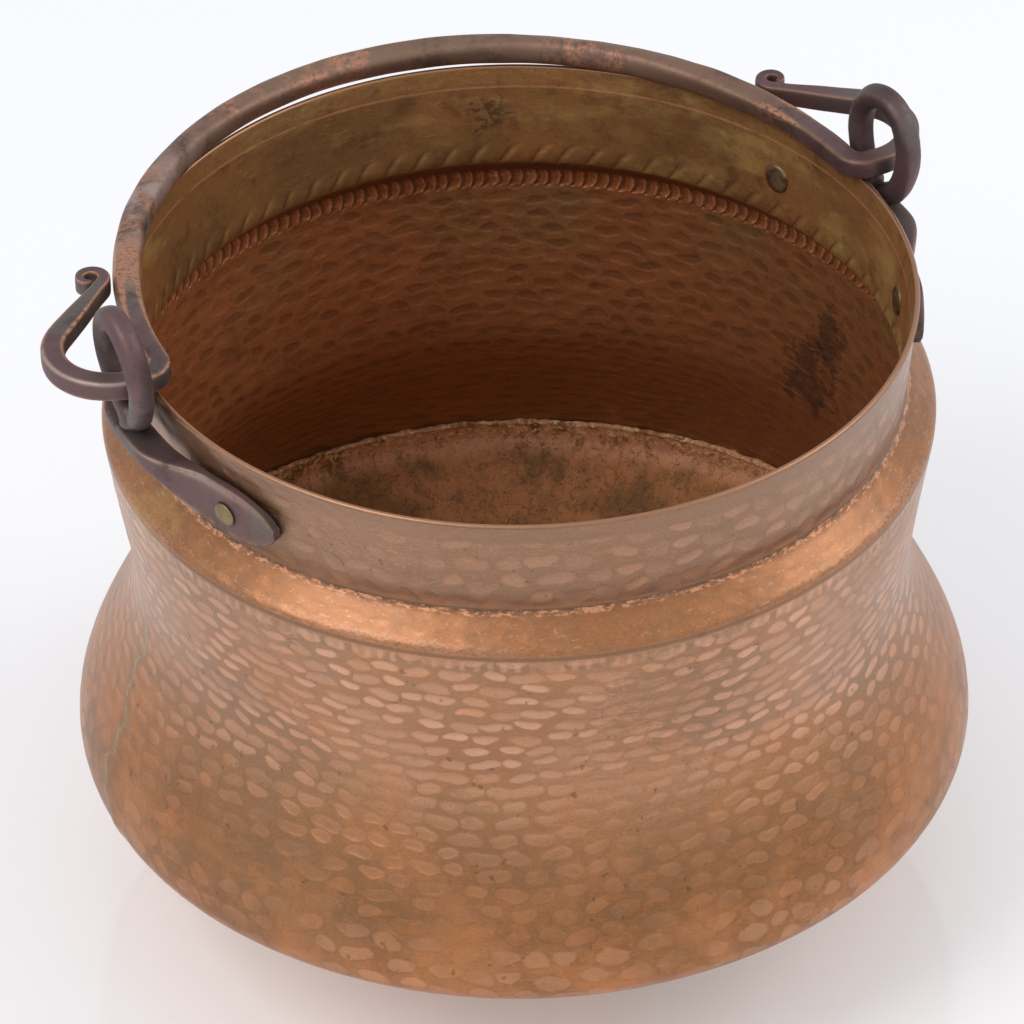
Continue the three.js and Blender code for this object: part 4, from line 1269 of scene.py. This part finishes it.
class CAULDRON_OT_bottom(bpy.types.Operator):
    """Builds the raised bottom and the braze along its edge"""
    bl_idname = "cauldron.bottom"
    bl_label = "Bottom"

    def execute(self, context):
        scene = context.scene
        pot, finish = scene.cauldron_pot, scene.cauldron_finish
        material = bottom_copper(pot, finish)
        piece = finish_piece(self.bowl(pot), "pot_bottom", material)
        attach(piece, "pot")
        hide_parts("bottom_bowl")
        braze = finish_piece(self.bead(pot), "braze_ring", material)
        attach(braze, "pot")
        return {"FINISHED"}

    def bowl(self, pot):
        steps, spacing, sectors, cuts = 60, 0.0024, 60, 4
        turn_radius = pot.bulge_round - pot.sheet - pot.braze_gap
        centre, radius = bowl_sphere(pot, turn_radius)
        reach = pot.bulge_radius - pot.bulge_round
        start = math.atan2(-centre, pot.seat_radius)
        touch = math.atan2(pot.bulge_height - centre, reach)
        top = pot.bulge_height + pot.lap
        lip = np.array((flare_radius(pot, top) - pot.sheet - 2.0 * pot.braze_gap, top))
        outside = np.vstack((
            (0.0, 0.0),
            arc((0.0, centre), radius, start, touch, steps),
            arc((reach, pot.bulge_height), turn_radius, touch, 0.0, steps)[1:],
            lip,
        ))
        outside = even(outside, spacing)
        outside[0] = (0.0, 0.0)
        thickness = mix(pot.edge, pot.sheet, smooth((lip[1] - outside[:, 1]) / pot.thinning))
        inside = (outside + sideways(outside) * thickness[:, None])[::-1]
        inside[-1, 0] = 0.0
        bm = turned(np.vstack((outside, inside)), sectors, False, cuts)
        self.wave(bm, pot)
        return bm

    def wave(self, bm, pot):
        """Raises low waves on the floor, none on the seat or the edge."""
        swell, reach = 2.0 * pot.wave, pot.bulge_radius - pot.bulge_round
        fade, crowding = 0.02, 28.0
        for vert in bm.verts:
            radius = math.hypot(vert.co.x, vert.co.y)
            free = float(smooth((radius - pot.seat_radius) / fade) * smooth((reach - radius) / fade))
            vert.co.z += swell * free * noise.noise(vert.co * crowding)

    def bead(self, pot):
        """Braze that has run along the bottom's upper edge."""
        thickness, sunk, inset, sides, sectors, cuts = 0.0012, 0.0002, 0.9, 8, 105, 3
        top = pot.bulge_height + pot.lap
        centre = (flare_radius(pot, top) - pot.sheet - pot.edge * inset, top - sunk)
        ring = arc(centre, thickness, 0.0, 2.0 * math.pi, sides)[:-1]
        bm = turned(ring, sectors, True, cuts)
        beat(bm, depth=0.0009, size=0.0028)
        return bm


class CAULDRON_OT_straps(bpy.types.Operator):
    """Builds both straps"""
    bl_idname = "cauldron.straps"
    bl_label = "Straps"

    def execute(self, context):
        scene = context.scene
        smith = scene.cauldron_smithwork
        material = forged_patina(scene.cauldron_finish)
        for label, angle in SIDES.items():
            bm = swept(*strap_rings(smith, scene.cauldron_pot))
            beat(bm, depth=smith.beaten, size=0.012)
            bmesh.ops.rotate(bm, verts=bm.verts, cent=(0.0, 0.0, 0.0), matrix=Matrix.Rotation(angle, 3, "Z"))
            piece = finish_piece(bm, "forged_strap_" + label, material)
            soften(piece)
            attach(piece, "pot")
            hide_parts("strap_" + label)
        return {"FINISHED"}


class CAULDRON_OT_rivets(bpy.types.Operator):
    """Builds the four rivets"""
    bl_idname = "cauldron.rivets"
    bl_label = "Rivets"

    def execute(self, context):
        scene = context.scene
        pot, smith, finish = scene.cauldron_pot, scene.cauldron_smithwork, scene.cauldron_finish
        material = rivet_brass(pot, finish)
        middle = (smith.leaf_top + smith.leaf_bottom) / 2.0
        radius = neck_radius(pot, middle)
        slope = (pot.lip_radius - pot.foot_radius) / (pot.lip_height - pot.foot_height)
        for label, side in SIDES.items():
            for where, way in {"front": -1.0, "back": 1.0}.items():
                turn_way = way if label == "right" else -way
                angle = side + turn_way * smith.rivet_place / radius
                out = Vector((math.cos(angle), math.sin(angle), -slope)).normalized()
                bm = self.rivet(pot, smith)
                turned_out = Vector((0.0, 0.0, 1.0)).rotation_difference(out).to_matrix().to_4x4()
                spot = Matrix.Translation((radius * math.cos(angle), radius * math.sin(angle), middle))
                bmesh.ops.transform(bm, matrix=spot @ turned_out, verts=bm.verts)
                beat(bm, depth=0.00035, size=0.004)
                name = f"rivet_{label}_{where}"
                piece = finish_piece(bm, "brass_" + name, material)
                soften(piece)
                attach(piece, "pot")
                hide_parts(name)
        return {"FINISHED"}

    def rivet(self, pot, smith):
        """Domed head outside, shank, and a flat tail inside the neck."""
        dome_steps, round_steps, round_start, round_end = 5, 18, 0.3, 0.8
        inner = -pot.sheet - smith.seat_gap
        outer = 2.0 * smith.seat_gap + smith.strap_leaf
        head, rise = smith.rivet_head / 2.0, smith.rivet_rise
        dome = (head ** 2 + rise ** 2) / (2.0 * rise)
        centre = outer + rise - dome
        start = math.asin((outer - centre) / dome)
        tail, tail_rise = smith.rivet_tail / 2.0, smith.rivet_tail_rise
        path = np.vstack((
            (0.0, inner - tail_rise),
            (tail - tail_rise, inner - tail_rise),
            (tail - round_start * tail_rise, inner - round_end * tail_rise),
            (tail, inner - round_start * tail_rise),
            (tail, inner),
            (smith.rivet_shank / 2.0, inner),
            (smith.rivet_shank / 2.0, outer),
            arc((0.0, centre), dome, start, math.pi / 2.0, dome_steps),
        ))
        path[-1, 0] = 0.0
        return turned(path, round_steps, False)


class CAULDRON_OT_eyes(bpy.types.Operator):
    """Builds both swivel eyes"""
    bl_idname = "cauldron.eyes"
    bl_label = "Eyes"

    def execute(self, context):
        scene = context.scene
        smith = scene.cauldron_smithwork
        material = bpy.data.materials["Forged patina"]
        drawn = {"right": (0.0, smith.eye_turn, 0.0), "left": (smith.eye_lean, 0.0, smith.eye_lift)}
        for label, side in SIDES.items():
            lean, twist, lift = drawn[label]
            bm = swept(*eye_rings(smith))
            bmesh.ops.rotate(bm, verts=bm.verts, cent=(0.0, 0.0, 0.0), matrix=Matrix.Rotation(lean, 3, "Y"))
            beat(bm, depth=smith.beaten, size=0.009)
            self.add_tenon(bm, smith)
            spot = Matrix.Translation((eye_reach * math.cos(side), 0.0, strap_top + lift))
            bmesh.ops.transform(bm, matrix=spot @ Matrix.Rotation(side + twist, 4, "Z"), verts=bm.verts)
            piece = finish_piece(bm, "forged_eye_" + label, material)
            soften(piece)
            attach(piece, "eye_" + label)
            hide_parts("eye_" + label)
        return {"FINISHED"}

    def add_tenon(self, bm, smith):
        """Shoulder, tenon and peened end, turned and joined to the eye's bar."""
        round_steps = 20
        foot = smith.seat_gap
        under = -smith.strap_bar - smith.seat_gap - smith.eye_lift
        shoulder, tenon, peen = smith.shoulder / 2.0, smith.tenon / 2.0, smith.peen / 2.0
        peen_round, chamfer, chamfer_rise = 0.0017, 0.0004, 0.0006
        side_rise, cone, cone_rise, top_rise = 0.002, 0.0016, 0.0042, 0.0056
        path = np.array((
            (0.0, under - smith.peen_height),
            (peen - peen_round, under - smith.peen_height),
            (peen, under - smith.peen_height + peen_round),
            (peen, under),
            (tenon, under),
            (tenon, foot),
            (shoulder - chamfer, foot),
            (shoulder, foot + chamfer_rise),
            (shoulder, smith.eye_root + side_rise),
            (shoulder - cone, smith.eye_root + cone_rise),
            (0.0, smith.eye_root + top_rise),
        ))
        shank = turned(path, round_steps, False)
        mesh = bpy.data.meshes.new("shank")
        shank.to_mesh(mesh)
        shank.free()
        bm.from_mesh(mesh)
        bpy.data.meshes.remove(mesh)


class CAULDRON_OT_bail(bpy.types.Operator):
    """Builds the bail with its hooks and scrolls"""
    bl_idname = "cauldron.bail"
    bl_label = "Bail"

    def execute(self, context):
        smith = context.scene.cauldron_smithwork
        bm = swept(*bail_rings(smith))
        beat(bm, depth=smith.beaten, size=0.014)
        piece = finish_piece(bm, "forged_bail", bpy.data.materials["Forged patina"])
        soften(piece)
        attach(piece, "bail")
        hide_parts("bail")
        return {"FINISHED"}


class CAULDRON_OT_stage(bpy.types.Operator):
    """Sets up the floor, the light and the camera"""
    bl_idname = "cauldron.stage"
    bl_label = "Stage"

    def execute(self, context):
        stage = context.scene.cauldron_stage
        context.scene.view_settings.view_transform = "Standard"
        bm = bmesh.new()
        bmesh.ops.create_grid(bm, x_segments=1, y_segments=1, size=stage.floor_size / 2.0)
        finish_piece(bm, "floor", pale_floor(stage))
        self.light_world(context.scene, stage)
        self.add_lamp("Left lamp", stage, stage.left_power, stage.left_place)
        self.add_lamp("Right lamp", stage, stage.right_power, stage.right_place)
        self.add_camera(context.scene, stage)
        return {"FINISHED"}

    def light_world(self, scene, stage):
        scene.world = bpy.data.worlds.new("Soft studio")
        nodes = Nodes(scene.world)
        sockets = {"Color": stage.world_colour, "Strength": stage.world_strength}
        nodes.add("ShaderNodeOutputWorld", {}, {"Surface": nodes.add("ShaderNodeBackground", {}, sockets)})

    def add_lamp(self, name, stage, energy, spot):
        lamp = bpy.data.lights.new(name, "AREA")
        lamp.energy = energy
        lamp.size = stage.lamp_size
        holder = bpy.data.objects.new(name, lamp)
        holder.location = spot
        middle = Vector((0.0, 0.0, stage.lamp_aim))
        holder.rotation_euler = (middle - Vector(spot)).to_track_quat("-Z", "Y").to_euler()
        bpy.context.scene.collection.objects.link(holder)

    def add_camera(self, scene, stage):
        around, above = stage.camera_azimuth, stage.camera_elevation
        away = Vector((
            math.cos(around) * math.cos(above), math.sin(around) * math.cos(above), math.sin(above)))
        ahead = -away
        right = ahead.cross(Vector((0.0, 0.0, 1.0))).normalized()
        up = right.cross(ahead)
        ahead = (ahead + up * math.tan(stage.aim_up) - right * math.tan(stage.aim_left)).normalized()
        right = ahead.cross(up).normalized()
        up = right.cross(ahead)
        facing = Matrix((right, up, -ahead)).transposed()
        camera = bpy.data.cameras.new("Camera")
        camera.lens = stage.camera_lens
        holder = bpy.data.objects.new("Camera", camera)
        rolled = facing @ Matrix.Rotation(-stage.camera_roll, 3, "Z")
        spot = Vector((0.0, 0.0, stage.camera_target)) + away * stage.camera_distance
        holder.matrix_world = Matrix.Translation(spot) @ rolled.to_4x4()
        scene.collection.objects.link(holder)
        scene.camera = holder


GROUPS = {
    "cauldron_pot": CAULDRON_PG_pot,
    "cauldron_marks": CAULDRON_PG_marks,
    "cauldron_smithwork": CAULDRON_PG_smithwork,
    "cauldron_finish": CAULDRON_PG_finish,
    "cauldron_stage": CAULDRON_PG_stage,
}

PIECES = (
    CAULDRON_OT_sheet,
    CAULDRON_OT_bottom,
    CAULDRON_OT_straps,
    CAULDRON_OT_rivets,
    CAULDRON_OT_eyes,
    CAULDRON_OT_bail,
    CAULDRON_OT_stage,
)


class CAULDRON_PT_panel(bpy.types.Panel):
    """Lists the cauldron's pieces"""
    bl_idname = "CAULDRON_PT_panel"
    bl_label = "Cauldron"
    bl_space_type = "VIEW_3D"
    bl_region_type = "UI"
    bl_category = "Cauldron"

    def draw(self, context):
        for piece in PIECES:
            self.layout.operator(piece.bl_idname)
        for name, group in GROUPS.items():
            box = self.layout.box()
            box.label(text=group.__doc__)
            for key in group.__annotations__:
                box.prop(getattr(context.scene, name), key)


def register():
    for group in GROUPS.values():
        bpy.utils.register_class(group)
    for name, group in GROUPS.items():
        setattr(bpy.types.Scene, name, PointerProperty(type=group))
    for piece in PIECES:
        bpy.utils.register_class(piece)
    bpy.utils.register_class(CAULDRON_PT_panel)


def unregister():
    bpy.utils.unregister_class(CAULDRON_PT_panel)
    for piece in reversed(PIECES):
        bpy.utils.unregister_class(piece)
    for name, group in GROUPS.items():
        delattr(bpy.types.Scene, name)
        bpy.utils.unregister_class(group)


def main():
    register()
    bpy.ops.cauldron.sheet()
    bpy.ops.cauldron.bottom()
    bpy.ops.cauldron.straps()
    bpy.ops.cauldron.rivets()
    bpy.ops.cauldron.eyes()
    bpy.ops.cauldron.bail()
    bpy.ops.cauldron.stage()


if __name__ == "__main__":
    main()
